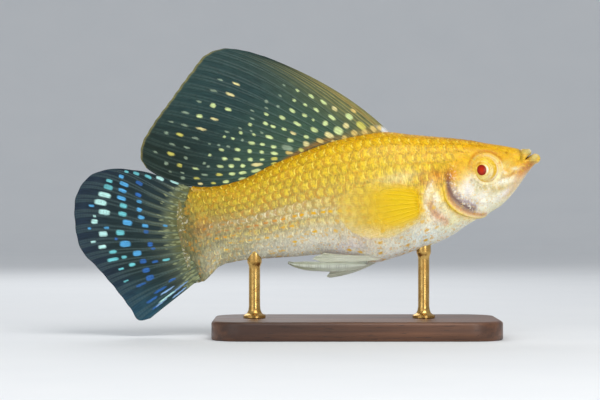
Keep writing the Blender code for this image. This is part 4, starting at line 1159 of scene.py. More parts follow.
def eyeball(side, word):
    """A flattened ball: sines and cosines of two angles times the radius in its plane and the half depth."""
    rings, sides = 72, 120
    polar = np.linspace(0, math.pi, rings + 1)[1:-1, None]
    turn = round_angles(sides)[None]
    a, b, c = np.sin(polar) * np.cos(turn), np.sin(polar) * np.sin(turn), np.cos(polar) + 0 * turn
    flat = np.concatenate([np.stack([a, b, c], axis=-1).reshape(-1, 3), [[0, 0, 1], [0, 0, -1]]])
    in_plane = flat[:, :2] * EYE_RADIUS
    points = eye_centre + in_plane[:, :1] * eye_back + in_plane[:, 1:] * eye_up
    points = points + flat[:, 2:] * EYE_HALF_DEPTH * eye_axis
    off = in_plane - PUPIL_OFF
    lean = math.radians(PUPIL_LEAN)
    turned = off @ np.array([[math.cos(lean), -math.sin(lean)], [math.sin(lean), math.cos(lean)]])
    angle, far = np.arctan2(off[:, 1], -off[:, 0]), np.linalg.norm(off, axis=-1)
    marks = {"pupil": np.linalg.norm(turned / PUPIL, axis=-1),
             "paint": iris_paint(angle, far, np.linalg.norm(in_plane, axis=-1))}
    points[:, 1] *= side
    piece(f"eye_ball_{word}", placed(points), tube_faces(rings - 1, sides), glassy, (f"eye_{word}",),
          marks)


glassy = eye_finish()
for side, word in BOTH_SIDES:
    eyeball(side, word)

# %% [markdown]
# ## How a fin is built
# A fin is a thin membrane on stiff rays. Each ray leaves the body as one rod, forks into two and again into
# four, and is jointed along its length. With the fin unrolled, v numbers the rays and r runs from root to
# margin, so the height of the rays is a formula in v and r: the distance to the nearest branch, in a bell.

# %% Rays and fin sheets


def ray_height(v, r, count, forks, thin=0.11):
    """1 on a branch of a ray and 0 between: branches part from their ray as r passes each fork."""
    k = v * (count - 1)
    off = np.abs(k - np.round(k))
    first = 0.15 * step(forks[0], forks[0] + 0.4, r)
    second = 0.07 * step(forks[1], 1.05, r)
    branch = np.abs(np.abs(off - first) - second)
    width = thin * (1 - 0.55 * r)
    return np.exp(-((branch / width) ** 2))


def joints(r, reach, every=0.55):
    """1 on the dark line between two segments of a ray, every so many millimetres."""
    return np.clip(np.cos(2 * math.pi * r * reach / every) - 0.55, 0, 1) / 0.45


def sheet(blade, facing, half):
    """A closed sheet: the blade's points moved out and in by half the thickness, its four edges joined."""
    rows, columns = half.shape
    outer, inner = blade + facing * half[..., None], blade - facing * half[..., None]
    points = np.concatenate([outer.reshape(-1, 3), inner.reshape(-1, 3)])
    count = rows * columns
    ids = np.arange(count).reshape(rows, columns)
    rim = np.concatenate([ids[0], ids[1:, -1], ids[-1, -2::-1], ids[-2:0:-1, 0]])
    wall = np.stack([np.roll(rim, -1), rim, rim + count, np.roll(rim, -1) + count], axis=-1)
    faces = grid_faces(rows, columns)
    return points, [faces, faces[:, ::-1] + count, wall]


def bezier(start, first, second, end, t):
    """Cubic curve from start to end through two handles, for each column at every t."""
    t = t[:, None, None]
    near = (1 - t) ** 3 * start + 3 * t * (1 - t) ** 2 * first
    return near + 3 * t * t * (1 - t) * second + t ** 3 * end


def heading(degrees):
    """A unit vector in the side view: 0 points straight back and 90 straight up."""
    return np.stack([np.cos(np.radians(degrees)), np.sin(np.radians(degrees))], axis=-1)


print("Ray height on a ray and between rays:",
      ray_height(np.array([0.0, 0.5 / 17]), 0.1, 18, (0.4, 0.7)).round(3))

# %% [markdown]
# ## Pale spots on the dark fins
# Spots lie in arcs on the membranes and point along the rays. They're typed where they show on the fish, as
# station, height, length and width in millimetres, and sorted by tone. The mask of a spot is an oval in the
# local direction of the rays.

# %% Spots of the sail and of the tail
SAIL_SPOTS = {
    (226, 214, 150): (
        (50.9, 23.9, 1.6, 0.9), (48.8, 18.8, 1.6, 1.3), (63, 19.8, 1.6, 0.7), (53.7, 17.3, 2.4, 1.3),
        (60.2, 16.3, 1.6, 1.3), (74.1, 13.6, 2.9, 0.8), (90, 11.8, 1.1, 0.5), (75.1, 35.8, 1.9, 0.5),
        (77.2, 33.3, 2.4, 0.7), (82.7, 27.8, 2.1, 0.5), (86.7, 26, 2.7, 0.5)),
    (138, 156, 132): (
        (62.7, 32.8, 0.8, 0.4), (64.3, 30.3, 0.9, 0.4), (65.4, 27.6, 0.8, 0.5), (65.3, 16.3, 2.9, 1.3),
        (68.2, 29.5, 0.8, 0.8), (68.6, 27.8, 1.1, 0.4), (72.4, 27.9, 1.1, 0.4), (72.8, 25.8, 1.1, 0.4),
        (76.5, 24, 0.7, 0.4), (73.8, 22.7, 0.5, 0.4), (71.1, 21.6, 0.8, 0.4), (80.1, 23.8, 1.1, 0.4),
        (76.6, 20.8, 0.7, 0.6), (83, 20.8, 0.8, 0.5), (80.6, 19.9, 0.8, 0.5), (85.4, 21.7, 0.7, 0.4),
        (87.8, 16.9, 0.8, 0.6), (86.9, 15.8, 0.8, 0.5), (88.4, 13.9, 1.6, 0.5), (94.2, 14.3, 1.1, 0.7),
        (94, 15.6, 0.8, 0.4), (79, 37.7, 1.3, 0.4), (81.3, 35.2, 1.9, 0.4), (85.7, 33.2, 1.3, 0.4),
        (89.9, 31.1, 1.9, 0.5), (90.8, 27.9, 1.9, 0.5), (94.1, 29.5, 1.3, 0.4), (96, 26.9, 1.1, 0.8),
        (88.7, 23.9, 1.9, 0.4), (95.1, 23.6, 1.6, 0.4), (91.5, 22, 1.6, 0.4), (99.9, 22.5, 1.1, 0.4),
        (92.3, 19.3, 0.9, 0.5), (97.7, 19, 0.9, 0.8), (97.2, 16.6, 0.7, 0.4)),
    (216, 190, 112): (
        (46.1, 22.3, 1.6, 0.7), (41.9, 16.5, 1.9, 1.1), (40.3, 16.4, 1.3, 1.1), (47.1, 16.5, 1.6, 1.3),
        (44.4, 16.2, 1.6, 1.3), (49.9, 15.8, 1.3, 1.1), (56.4, 16.3, 1.9, 1.1), (53, 15.4, 1.1, 0.7),
        (65.1, 14.9, 1.9, 0.8)),
    (208, 224, 156): (
        (59.5, 30.7, 1.1, 0.5), (56.2, 28.4, 1.6, 0.6), (60.9, 28.3, 0.9, 0.7), (53.4, 26.2, 1.9, 0.7),
        (58.3, 26.5, 1.1, 0.5), (55.7, 24.6, 1.6, 0.7), (62, 25.7, 1.6, 0.7), (59, 23.8, 1.3, 0.8),
        (52, 21.7, 2.1, 0.8), (47.5, 21, 2.1, 1.3), (65, 24.4, 1.6, 0.9), (57, 22.2, 0.7, 0.5),
        (61.4, 22, 2.1, 0.8), (54.1, 20.6, 1.3, 1.3), (65.1, 21.3, 1.3, 0.6), (57.3, 19.5, 1.9, 1.1),
        (51.1, 17.9, 2.4, 1.9), (59.8, 18.1, 1.3, 0.9), (64.1, 18.1, 1.6, 0.9), (68.8, 17.3, 1.3, 0.8),
        (69, 15.6, 1.7, 0.8), (68.9, 26.2, 1.1, 0.7), (73.7, 24.4, 1.1, 0.7), (69.7, 23.9, 1.3, 0.7),
        (67.8, 22.6, 1.3, 0.7), (76.6, 22.8, 0.9, 0.7), (73.3, 21.6, 0.9, 0.5), (69.4, 20.1, 1.9, 0.8),
        (78.9, 21.7, 0.8, 0.5), (81.1, 22.7, 0.7, 0.6), (74.3, 19.5, 1.6, 0.8), (71.6, 18.6, 1.1, 0.7),
        (82.5, 19.4, 1.3, 0.5), (78.4, 18.6, 1.5, 0.7), (75.3, 17.5, 1.1, 0.9), (72.2, 16.6, 1.1, 0.7),
        (85.9, 18.7, 0.8, 0.5), (82.2, 16.9, 1.3, 0.8), (79, 16.1, 1.6, 0.7), (75.6, 15.3, 1.3, 0.8),
        (72.5, 14.6, 1.1, 0.5), (83.8, 15.2, 1.6, 0.7), (80.9, 14.7, 1.3, 0.8), (77.9, 14.1, 1.1, 0.8),
        (81.2, 12.6, 1.6, 0.7), (78.3, 12.3, 1.9, 0.7), (74.7, 12.1, 2.4, 0.8), (83.2, 10.9, 1.6, 0.7),
        (78.8, 10.8, 1.9, 0.5), (78.6, 29.6, 1.6, 0.7), (82.3, 31.4, 1.3, 1.1), (86.4, 29.4, 1.5, 0.9),
        (90.4, 16, 1.6, 0.5)),
    (202, 196, 96): (
        (44.9, 18, 2.7, 1.6), (61.8, 15, 1.3, 0.8), (69.3, 14.2, 1.6, 0.8), (69.6, 13, 1.6, 0.5),
        (84.5, 13.1, 1.6, 0.6), (90.6, 13.4, 1.6, 0.5), (86.5, 11.2, 1.1, 0.5), (92.6, 25.7, 1.9, 0.7),
        (96, 21.2, 1.9, 0.7), (94.3, 17.7, 1.3, 0.8)),
}
TAIL_SPOTS = {
    (48, 104, 176): (
        (114.9, 2.1, 0.8, 0.5), (105.8, 15.3, 1.9, 0.8), (106.7, 12.3, 1.6, 0.8), (106.7, 2.3, 1.3, 0.8),
        (106.3, -1.2, 1.3, 1.1), (105.8, -2.5, 1.1, 0.5), (109.1, -5.2, 1.6, 1.1), (108.8, -7.7, 1.9, 1.1),
        (108.2, -9.9, 2.1, 1.3), (102.4, -14.7, 5.3, 0.4), (106.2, -13.6, 3.7, 0.5), (108.9, -15.7, 3.2, 0.5),
        (110.9, -11.2, 2.7, 0.5), (102.6, -11.7, 2.1, 0.5), (107.9, -17.6, 3.2, 0.4), (106, -6, 1.6, 0.5)),
    (140, 176, 216): (
        (101.4, -15.4, 4.6, 0.3), (103.6, -15.3, 4.6, 0.3), (100.4, -13.7, 4, 0.3),
        (104.4, -14.2, 4.4, 0.3), (106.6, -17, 3.6, 0.3)),
    (112, 200, 208): (
        (113.5, 17.6, 1.6, 0.7), (114.1, 16, 2.4, 1.1), (116.4, -1.1, 1.9, 0.8), (116.8, -3.1, 2.9, 0.8),
        (108.5, 19, 1.1, 0.5), (111.2, 10.3, 1.9, 1.1), (111.9, 8.2, 2.1, 1.1), (113.5, 3.5, 2.1, 1.3),
        (113.8, -3.1, 1.3, 0.7), (112.1, -5.5, 1.6, 0.8), (115.2, -6, 1.3, 0.5), (114.6, -9.4, 1.3, 0.4),
        (106, 18, 1.6, 0.7), (103.1, 16.5, 1.9, 0.7), (103, -6.1, 1.9, 0.5)),
    (88, 172, 224): (
        (116.8, 5.5, 1.3, 0.5), (119.5, 12.1, 1.3, 0.5), (121.3, 6.3, 0.8, 0.4), (110.1, 18, 1.3, 0.8),
        (109.8, 15.9, 2.4, 0.9), (110.6, 14.3, 2.1, 0.8), (111.3, 12.4, 2.4, 0.9), (111.1, 5.7, 2.4, 1.3),
        (112.8, 0.3, 2.7, 1.5), (110.2, -2.8, 2.1, 1.3), (106.8, 10.5, 1.3, 0.7), (107.3, 8.4, 1.3, 0.9),
        (107.2, 6.3, 1.6, 0.8), (106.6, 3.9, 1.6, 0.8), (101.4, 2.8, 1.1, 0.5)),
    (188, 236, 230): (
        (115.5, 14.2, 3.2, 1.2), (117, 12.5, 3.2, 1.3), (116.5, 9.7, 2.9, 1.3), (119.3, 9.2, 0.8, 0.5),
        (119.6, 7.8, 1.6, 1.1), (118, 4.1, 2.1, 1.3), (121, 2.6, 1.3, 0.5), (118.9, 0.8, 1.9, 0.9),
        (100.1, 15.4, 2.1, 0.8), (96.6, 13.6, 2.4, 0.5), (104.8, -15.8, 5.3, 0.3)),
}


def spotted(colour, flat, spots, square=2.2, soft=0.45, waver=0.13):
    """The colour with wavering ovals laid on: along/length and across/width to a power add up to under 1."""
    run = unit(np.gradient(flat, axis=0))
    a, b = flat[..., 0], flat[..., 1]
    wave = np.stack([np.sin(3.1 * a + 1.3) * np.cos(2.7 * b), np.sin(2.9 * b + 0.4) * np.cos(3.3 * a)], -1)
    flat = flat + waver * wave
    mask = np.zeros(flat.shape[:2])
    for tone, group in spots.items():
        for s, h, length, width in group:
            off = flat - (s, h)
            lengthwise = (off * run).sum(-1) / (length / 2 + 0.02)
            crosswise = (off[..., 1] * run[..., 0] - off[..., 0] * run[..., 1]) / (width / 2 + 0.04)
            share = step(1 + soft, 1 - soft, np.abs(lengthwise) ** square + np.abs(crosswise) ** square)
            colour = blend(colour, rgb(*tone), 0.92 * share)
            mask = np.maximum(mask, share)
    return colour, mask


print("Spots on the sail:", sum(map(len, SAIL_SPOTS.values())), "and on the tail:",
      sum(map(len, TAIL_SPOTS.values())))

# %% [markdown]
# ## The fins' finish
# The membrane is dark, smooth and a little translucent, and the rays are slightly lighter lines with darker
# joints. Colour comes from the paint on the points, and the material adds fine streaks along the rays from
# the fin's own two coordinates, with bump to match.

# %% Fin material


def fin_finish(name, ray_tone, ray_share, alpha, roughness=0.3, joint_share=0.35, ray_alpha=0.97,
               streak=0.22):
    """Painted membrane with lighter rays, fine streaks between them and jointed segments."""
    f = Finish(name, Coat_Weight=0.04, Coat_Roughness=0.2, Specular_IOR_Level=0.16, Subsurface_Weight=0.1,
               Subsurface_Radius=(1.0, 0.8, 0.6), Subsurface_Scale=0.0006)
    node = f.tree.nodes.new("ShaderNodeCombineXYZ")
    f.put(f.times(f.mark("ray_place"), 9.0), node.inputs[0])
    f.put(f.times(f.mark("reach"), 0.35), node.inputs[1])
    streaks = f.noise(1.0, 3.0, node.outputs[0])
    ray, joint, spot = f.mark("ray"), f.mark("joint"), f.mark("spot")
    shade = f.span(streaks, 0.3, 0.7, 1 - streak, 1 + streak)
    streaked = f.mix(1.0, f.mark("paint", "Color"), f.tint(shade), "MULTIPLY")
    bare = f.calc("SUBTRACT", 1.0, f.times(spot, 0.75))
    colour = f.over(streaked, ray_tone, ray, ray_share, bare)
    dark = f.mix(1.0, colour, rgb(120, 110, 96), "MULTIPLY")
    f.into(f.over(colour, dark, joint, ray, joint_share), "Base Color")
    solid = f.calc("MAXIMUM", f.calc("MAXIMUM", f.times(ray, ray_alpha), spot), alpha)
    solid = f.calc("MAXIMUM", solid, f.mark("dense"))
    f.into(f.times(solid, f.calc("SUBTRACT", 1.0, f.mark("fade"))), "Alpha")
    f.into(f.span(streaks, 0.3, 0.7, roughness - 0.06, roughness + 0.1), "Roughness")
    f.bump(f.calc("ADD", streaks, f.times(ray, 0.5)), 0.35, 0.06)
    return f.material


sail_finish = fin_finish("sail_membrane", rgb(84, 108, 100), 0.22, 0.93, 0.42)
fan_finish = fin_finish("tail_membrane", rgb(84, 108, 108), 0.4, 0.93, 0.42)
side_finish = fin_finish("side_fin_membrane", rgb(252, 222, 60), 0.3, 0.16, 0.36, 0.2, 0.3, 0.06)
belly_finish = fin_finish("belly_fin_membrane", rgb(236, 236, 220), 0.55, 0.66, 0.3, 0.4, 0.9)
print("Fin finishes ready")

# %% [markdown]
# ## The sail
# The tall dorsal fin is this fish's pride. Its rays lean back in long curves, the first ones steep and the
# last low over the back, and the whole sheet sways a little, as cloth does. The margin is notched between
# the rays.

# %% Dorsal fin
SAIL_RAYS, NOTCH = 18, 0.12
ACROSS = np.array([0.0, 1.0, 0.0])
SAIL_TIPS = ((66.0, 41.3), (71.5, 44.2), (77.0, 45.8), (81.4, 45.1), (86.2, 41.3), (93.2, 35.0), (99.8, 29.1),
             (103.2, 25.0), (104.1, 21.3), (103.2, 18.9))


def upright(roots, tips, first_deg, last_deg, handles, r, sway, v):
    """Rays as cubic curves in the side view, and a sideways wave that grows with r to the power 1.5."""
    reach = np.linalg.norm(tips - roots, axis=1)[:, None]
    flat = bezier(roots, roots + heading(first_deg) * reach * handles[0],
                  tips - heading(last_deg) * reach * handles[1], tips, r)
    width, waves, phase = sway
    y = width * r[:, None] ** 1.5 * np.sin(waves * math.pi * v + phase)
    return flat, np.stack([flat[..., 0], y, flat[..., 1]], axis=-1), reach[:, 0]


def notched(tips, roots, v, count, depth):
    """Tips drawn back between the rays: the notch follows the square of a sine across each membrane."""
    draw = depth * np.sin(math.pi * v * (count - 1)) ** 2
    return tips - unit(tips - roots) * draw[:, None]


def fin_marks(colour, spot, ray, joint, v, r, count, reach, dense, fade=0.0):
    """The attributes that a fin's material reads, for both faces; dense adds cover and fade takes it away."""
    def both(values):
        """The values at every point of one face and then of the other."""
        values = np.asarray(values)
        flat = np.broadcast_to(values, ray.shape + values.shape[2:]).reshape((-1,) + values.shape[2:])
        return np.concatenate([flat, flat])
    return {"paint": both(colour), "spot": both(spot), "ray": both(ray), "joint": both(joint),
            "ray_place": both((v * (count - 1))[None]), "reach": both(r[:, None] * reach[None]),
            "dense": both(dense), "fade": both(fade)}


def thickness(r, ray, joint, root=0.55, membrane=0.1, ridge=0.16, spread=0.07, grow=0.01):
    """Half thickness: stout root, thin membrane, and tapering rays, nicked at joints and full from grow on."""
    ridges = ridge * (1 - 0.6 * r ** 2) * ray * (1 - 0.25 * joint) * step(0.0, grow, r)
    return membrane * (1 - 0.3 * r ** 3) + ridges + root * bell(r, spread) * 0.6


sail_v, sail_r = np.linspace(0, 1, (SAIL_RAYS - 1) * 18 + 1), np.linspace(0, 1, 121)
sail_base = 37.4 + 32.9 * sail_v
sail_roots = np.stack([sail_base, section(sail_base)[0] - 0.5], axis=-1)
sail_tips = notched(along(SAIL_TIPS, sail_v ** 0.9), sail_roots, sail_v, SAIL_RAYS, NOTCH)
sail_first = smooth((0.0, 0.35, 0.7, 1.0), (57.0, 41.0, 18.5, -26.0), sail_v)
sail_last = smooth((0.0, 0.3, 0.7, 1.0), (33.0, 23.5, 23.0, 50.0), sail_v)
sail_flat, sail_blade, sail_reach = upright(
    sail_roots, sail_tips, sail_first, sail_last, (0.33, 0.36), sail_r, (0.9, 2.6, 0.4), sail_v)
V, R = sail_v[None, :], sail_r[:, None]
sail_ray = ray_height(V, R, SAIL_RAYS, (0.35, 0.68))
sail_joint = joints(R, sail_reach[None], 0.9) * step(0.15, 0.3, R)
front_lines = bell((V * (SAIL_RAYS - 1) * 2 + 0.5) % 1 - 0.5, 0.2)
slate = layered(flood((36, 62, 62), sail_flat.shape[:2]), (
    ((62, 88, 70), step(0.7, 0.1, R) * step(0.0, 0.35, V)),  # greener near the root
    ((104, 112, 72), 0.9 * step(0.4, 0.05, V) * step(1.0, 0.2, R)),
    ((24, 40, 34), step(0.55, 0.9, V) * step(0.3, 0.8, R)),  # darkest at the rear
    ((170, 156, 92), 0.75 * front_lines * step(0.24, 0.08, V) * step(1.0, 0.5, R)),
    ((146, 138, 84), 0.85 * bell(V, 0.03) * step(1.0, 0.5, R)),  # tan leading edge
    ((176, 142, 66), 0.5 * bell(V - 0.045, 0.012) * step(0.8, 0.3, R)),
    ((186, 150, 66), 0.6 * step(0.1, 0.0, R) * step(0.65, 0.1, V)),
    ((140, 132, 78), 0.85 * step(0.982, 0.996, R) * step(0.12, 0.3, V)),  # pale margin
    ((150, 108, 46), 0.75 * bell(R - 0.05, 0.025) * step(0.3, 0.5, V)),
    # near black along the root of the rear rays: a painted shadow where they lie low over the back
    ((40, 36, 20), 0.8 * step(0.045, 0.02, R) * step(0.5, 0.7, V)),
    ((214, 220, 226), 0.9 * step(0.1, 0.05, R) * step(0.08, 0.03, V)),
))
sail_paint, sail_spot = spotted(slate, sail_flat, SAIL_SPOTS, 2.4, 0.55, 0.07)
sail_points, sail_faces = sheet(sail_blade, ACROSS, thickness(R, sail_ray, sail_joint))
piece("sail", placed(sail_points), sail_faces, sail_finish, ("dorsal_fin",),
      fin_marks(sail_paint, sail_spot, sail_ray, sail_joint, sail_v, sail_r, SAIL_RAYS, sail_reach,
                step(0.2, 0.02, R)))

# %% [markdown]
# ## The tail fan
# The tail fin spreads from the curved end of the stalk. Dark wedges lie between the rays near its root,
# small pale chips are strewn there, and the spots turn from blue near the body through sky blue to pale cyan
# near the margin.

# %% Tail fin
TAIL_RAYS = 16
TAIL_TIPS = ((105.5, 18.7), (112.3, 20.6), (118.5, 19.9), (122.8, 15.9), (124.8, 8.5), (124.6, 1.2),
             (121.2, -4.6), (118.0, -10.4), (115.2, -16.3), (113.2, -20.5), (110.4, -20.5))
tail_v, tail_r = np.linspace(0, 1, (TAIL_RAYS - 1) * 20 + 1), np.linspace(0, 1, 121)
tail_height = 11.9 - 25.1 * tail_v
tail_roots = np.stack([stalk_end(tail_height) - 1.2, tail_height * 0.97], axis=-1)
tail_tips = notched(along(TAIL_TIPS, tail_v), tail_roots, tail_v, TAIL_RAYS, NOTCH)
tail_flat, tail_blade, tail_reach = upright(
    tail_roots, tail_tips, 27.0 - 56.0 * tail_v, 18.0 - 46.0 * tail_v, (0.3, 0.3), tail_r,
    (0.8, 2.2, -0.6), tail_v)
V, R = tail_v[None, :], tail_r[:, None]
tail_ray = ray_height(V, R, TAIL_RAYS, (0.22, 0.6))
tail_joint = joints(R, tail_reach[None], 0.8) * step(0.1, 0.25, R)
between = step(0.34, 0.2, np.abs(V * (TAIL_RAYS - 1) % 1 - 0.5))
wedges = (0.95 - 0.4 * step(0.45, 0.75, V)) * between * step(0.16, 0.26, R)
dusk = layered(flood((28, 46, 50), tail_flat.shape[:2]), (
    ((28, 44, 60), step(0.6, 1.0, R)),
    ((28, 46, 44), bell(R - 0.55, 0.2) * step(0.3, 0.7, V)),
    ((34, 84, 104), 0.7 * step(0.7, 1.0, V) * step(0.3, 0.9, R)),
    ((96, 106, 84), step(0.5, 0.15, R) * (1 - wedges)),
    ((98, 100, 58), 0.9 * step(0.22, 0.1, R)),
    ((100, 108, 84), 0.7 * step(0.25, 0.1, R) * step(0.6, 0.9, V)),
))
chips = generator.random((150, 4))
chip_v = (chips[:, 0] * (len(tail_v) - 1)).astype(int)
chip_r = (4 + chips[:, 1] ** 1.5 * 28).astype(int)
root_chips = {(176, 184, 134): [(*tail_flat[i, j], 0.5 + size, 0.25 + 0.3 * size * broad)
                                for i, j, size, broad in zip(chip_r, chip_v, chips[:, 2], chips[:, 3])]}
dusk = blend(dusk, spotted(dusk, tail_flat, root_chips, 2.0, 0.8, 0.1)[0], 0.5)
tail_paint, tail_spot = spotted(dusk, tail_flat, TAIL_SPOTS, 3.4, 0.55, 0.04)
tail_half = thickness(R, tail_ray, tail_joint, 1.9, spread=0.13, grow=0.2)
tail_points, tail_faces = sheet(tail_blade, ACROSS, tail_half)
piece("tail_fan", placed(tail_points), tail_faces, fan_finish, ("caudal_fin",),
      fin_marks(tail_paint, tail_spot, tail_ray, tail_joint, tail_v, tail_r, TAIL_RAYS, tail_reach,
                step(0.2, 0.02, R)))

# %% [markdown]
# ## The side fins and the belly fins
# A paired fin leaves the skin almost flat against it, then its blade swings back and out. The start of each
# ray lies on the skin, the first handle of its curve follows the skin, and the fin's own thickness direction
# turns from the skin's normal to the blade's.

# %% Paired fins
PECTORAL_ROOT = ((32.5, -2.6), (32.8, -5.8), (34.0, -9.1))
PECTORAL_TIPS = ((47.5, 2.2), (52.1, 1.7), (55.3, -0.4), (56.0, -3.2), (54.6, -7.6), (51.0, -10.8),
                 (45.0, -12.4))
PELVIC_ROOT = ((46.2, -17.2), (47.8, -16.8), (49.4, -15.9))
PELVIC_TIPS = {-1: ((59.6, -16.0), (63.2, -14.9), (64.9, -13.8), (61.6, -12.9)),
               1: ((59.5, -19.9), (62.2, -19.6), (61.5, -18.7), (58.0, -17.6))}


def side_fin(name, side, root, tips, out, rays, grid, root_half, sag, finish, node, colour, forks,
             bow=0.0):
    """A paired fin from its root line and its tips, standing out by out; bow spreads the rays like a fan."""
    v, r = np.linspace(0, 1, grid[0]), np.linspace(0, 1, grid[1])
    base = along(root, v)
    theta = theta_at(base[:, 0], base[:, 1])
    start = raised(base[:, 0], theta, np.full(len(v), 0.3 + root_half))
    skin_out = unit(start - plain_skin(base[:, 0], theta))
    inner = raised(base[:, 0], theta, np.full(len(v), -0.25))
    seen = along(tips, v)
    end = np.stack([seen[:, 0], out - 0.5 * np.abs(v - 0.5), seen[:, 1]], axis=-1)
    end -= unit(end - start) * (0.3 * np.sin(math.pi * v * (rays - 1)) ** 2)[:, None]
    reach = np.linalg.norm(end - start, axis=-1, keepdims=True)
    way = end - start
    back_way = unit(way - skin_out * (way * skin_out).sum(-1, keepdims=True))
    drop = np.stack([0 * v, 0 * v, bow * np.cos(math.pi * v) * (1 - 0.4 * v) - sag], axis=-1)
    blade = bezier(start, start + back_way * reach * 0.3 + drop, end - way * 0.3 + drop, end, r)
    blade += (inner - start)[None] * bell(r, 0.09)[:, None, None]
    facing = unit(np.cross(np.gradient(blade, axis=0), np.gradient(blade, axis=1)))
    facing *= np.sign((facing * skin_out).sum(-1, keepdims=True))
    own = np.clip(r / 0.3, 0, 1)[:, None, None]
    facing = unit(skin_out * (1 - own) + facing * own)
    V, R = v[None, :], r[:, None]
    ray = ray_height(V, R, rays, forks)
    joint = joints(R, reach[None, :, 0], 0.7) * step(0.2, 0.35, R)
    points, faces = sheet(blade, facing, thickness(R, ray, joint, root_half, 0.07, 0.1))
    points[:, 1] *= side
    edges = 0.25 + 0.75 * step(0.0, 0.26, V) * step(1.0, 0.62, V)
    dense = (0.72 * step(0.95, 0.15, R) + 0.2 * step(0.15, 0.02, R)) * edges
    marks = fin_marks(colour(V, R), 0.0, ray, joint, v, r, rays, reach[:, 0], dense, step(0.16, 0.03, R))
    piece(name, placed(points), faces, finish, (node,), marks)


def golden(V, R):
    """Deep yellow at the root and over the middle, clearer towards the margin, pale below."""
    return layered(flood((252, 214, 10), (R + V).shape), (
        ((240, 210, 90), step(0.6, 1.0, R)),
        ((244, 226, 150), 0.6 * step(0.7, 1.0, V)),
        ((252, 206, 4), 0.7 * step(0.35, 0.05, R)),
    ))


def pale(V, R):
    """Milky olive white, clearer and greyer outwards."""
    return layered(flood((224, 226, 206), (R + V).shape), (((186, 190, 164), step(0.3, 1.0, R)),))


for side, word in BOTH_SIDES:
    side_fin(f"side_fin_{word}", side, PECTORAL_ROOT, PECTORAL_TIPS, 11.0, 13, (12 * 16 + 1, 91), 0.3, 0.0,
             side_finish, f"pectoral_fin_{word}", golden, (0.3, 0.62), 1.8)
    out, sag = (5.2, 0.3) if side < 0 else (4.6, 1.3)
    side_fin(f"belly_fin_{word}", side, PELVIC_ROOT, PELVIC_TIPS[side], out, 6, (5 * 16 + 1, 71),
             0.4, sag, belly_finish, f"pelvic_fin_{word}", pale, (0.4, 0.7))

# %% [markdown]
# ## The rod-like anal fin
# In a male molly the first rays of the anal fin form a rod. It is a tube carried along a path under the
# belly, taller than wide, with four lobes for its rays and a groove at each of its many joints. Its tip is
# darker and slightly hooked.

# %% Anal rod
ROD_PATH = ((51.2, -18.5), (55.0, -17.95), (59.0, -17.3), (64.0, -16.2), (68.0, -15.1), (71.4, -13.9))
ROD_TALL = (0.95, 1.15, 1.25, 1.2, 1.05, 0.35)
ROD_WIDE = (0.75, 0.65, 0.6, 0.6, 0.5, 0.25)
ROD_SIDES, ROD_LENGTH = 48, 22.0


def rod():
    """A tube along a path: at each step an ellipse with four lobes, tall and wide as the tables say."""
    turn, t = round_angles(ROD_SIDES), np.linspace(0, 1, 150)
    path = along(ROD_PATH, t)
    knots = np.linspace(0, 1, len(ROD_TALL))
    tall, wide = smooth(knots, ROD_TALL, t)[:, None], smooth(knots, ROD_WIDE, t)[:, None]
    run = unit(np.gradient(path, axis=0))
    lean = np.clip(0.35 + t[:, None] * 13 * 0.22, 0, 1)
    up = unit(np.stack([-run[:, 1], run[:, 0]], axis=-1) * lean + np.array([-1.0, 0.0]) * (1 - lean))
    groove = joints(t, ROD_LENGTH, 0.42)[:, None] * step(0.18, 0.3, t)[:, None]
    lobes = (1 + 0.1 * np.cos(4 * turn))[None] * (1 - 0.09 * groove)
    centre = np.stack([path[:, 0], 0 * t, path[:, 1]], axis=-1)[:, None]
    upward = np.stack([up[:, 0], 0 * t, up[:, 1]], axis=-1)[:, None]
    points = centre + (tall * lobes * np.cos(turn))[..., None] * upward
    points[..., 1] += wide * lobes * np.sin(turn)
    points[..., 2] += 0.25 * step(0.93, 1.0, t)[:, None]
    inner = points[0] + np.array([-0.6, 0.0, 1.6])  # inside the belly
    rings = np.concatenate([inner[None], points])
    poles = np.stack([rings[0].mean(0), rings[-1].mean(0) + [0.15, 0, 0.05]])
    shade = np.repeat(np.append(0.0, t)[:, None], ROD_SIDES, axis=1)
    tone = layered(flood((212, 220, 202), shade.shape), (((152, 156, 130), step(0.3, 0.9, shade)),
                                                         ((104, 106, 84), 0.7 * step(0.9, 0.98, shade))))

    def with_poles(values, ends=(0, 0)):
        """The values at every point of the rings, then at both poles."""
        return np.append(np.broadcast_to(values, shade.shape), ends)
    marks = {"paint": np.concatenate([tone.reshape(-1, 3), tone[0, :1], tone[-1, :1]]),
             "joint": with_poles(np.append(0.0, groove)[:, None]),
             "ray": with_poles(0.5 + 0.5 * np.cos(4 * turn)), "ray_place": with_poles(np.cos(turn) * 3),
             "reach": with_poles(shade * ROD_LENGTH, (0, ROD_LENGTH)), "spot": with_poles(0.0),
             "dense": with_poles(1.0, (1, 1)), "fade": with_poles(0.0)}
    piece("anal_rod", placed(np.concatenate([rings.reshape(-1, 3), poles])),
          tube_faces(len(rings), ROD_SIDES), rod_finish, ("gonopodium",), marks)


rod_finish = fin_finish("anal_rod_skin", rgb(232, 238, 226), 0.6, 1.0, 0.34, 0.7)
rod()

# %% [markdown]
# ## The walnut base
# The plinth is a rounded slab. Its outline is a rectangle with round corners, and its edge profile, carried
# round that outline, rolls over in a quarter circle. Walnut shows long wavering grain with dark pores, under
# a satin oil.

# %% Base material and mesh


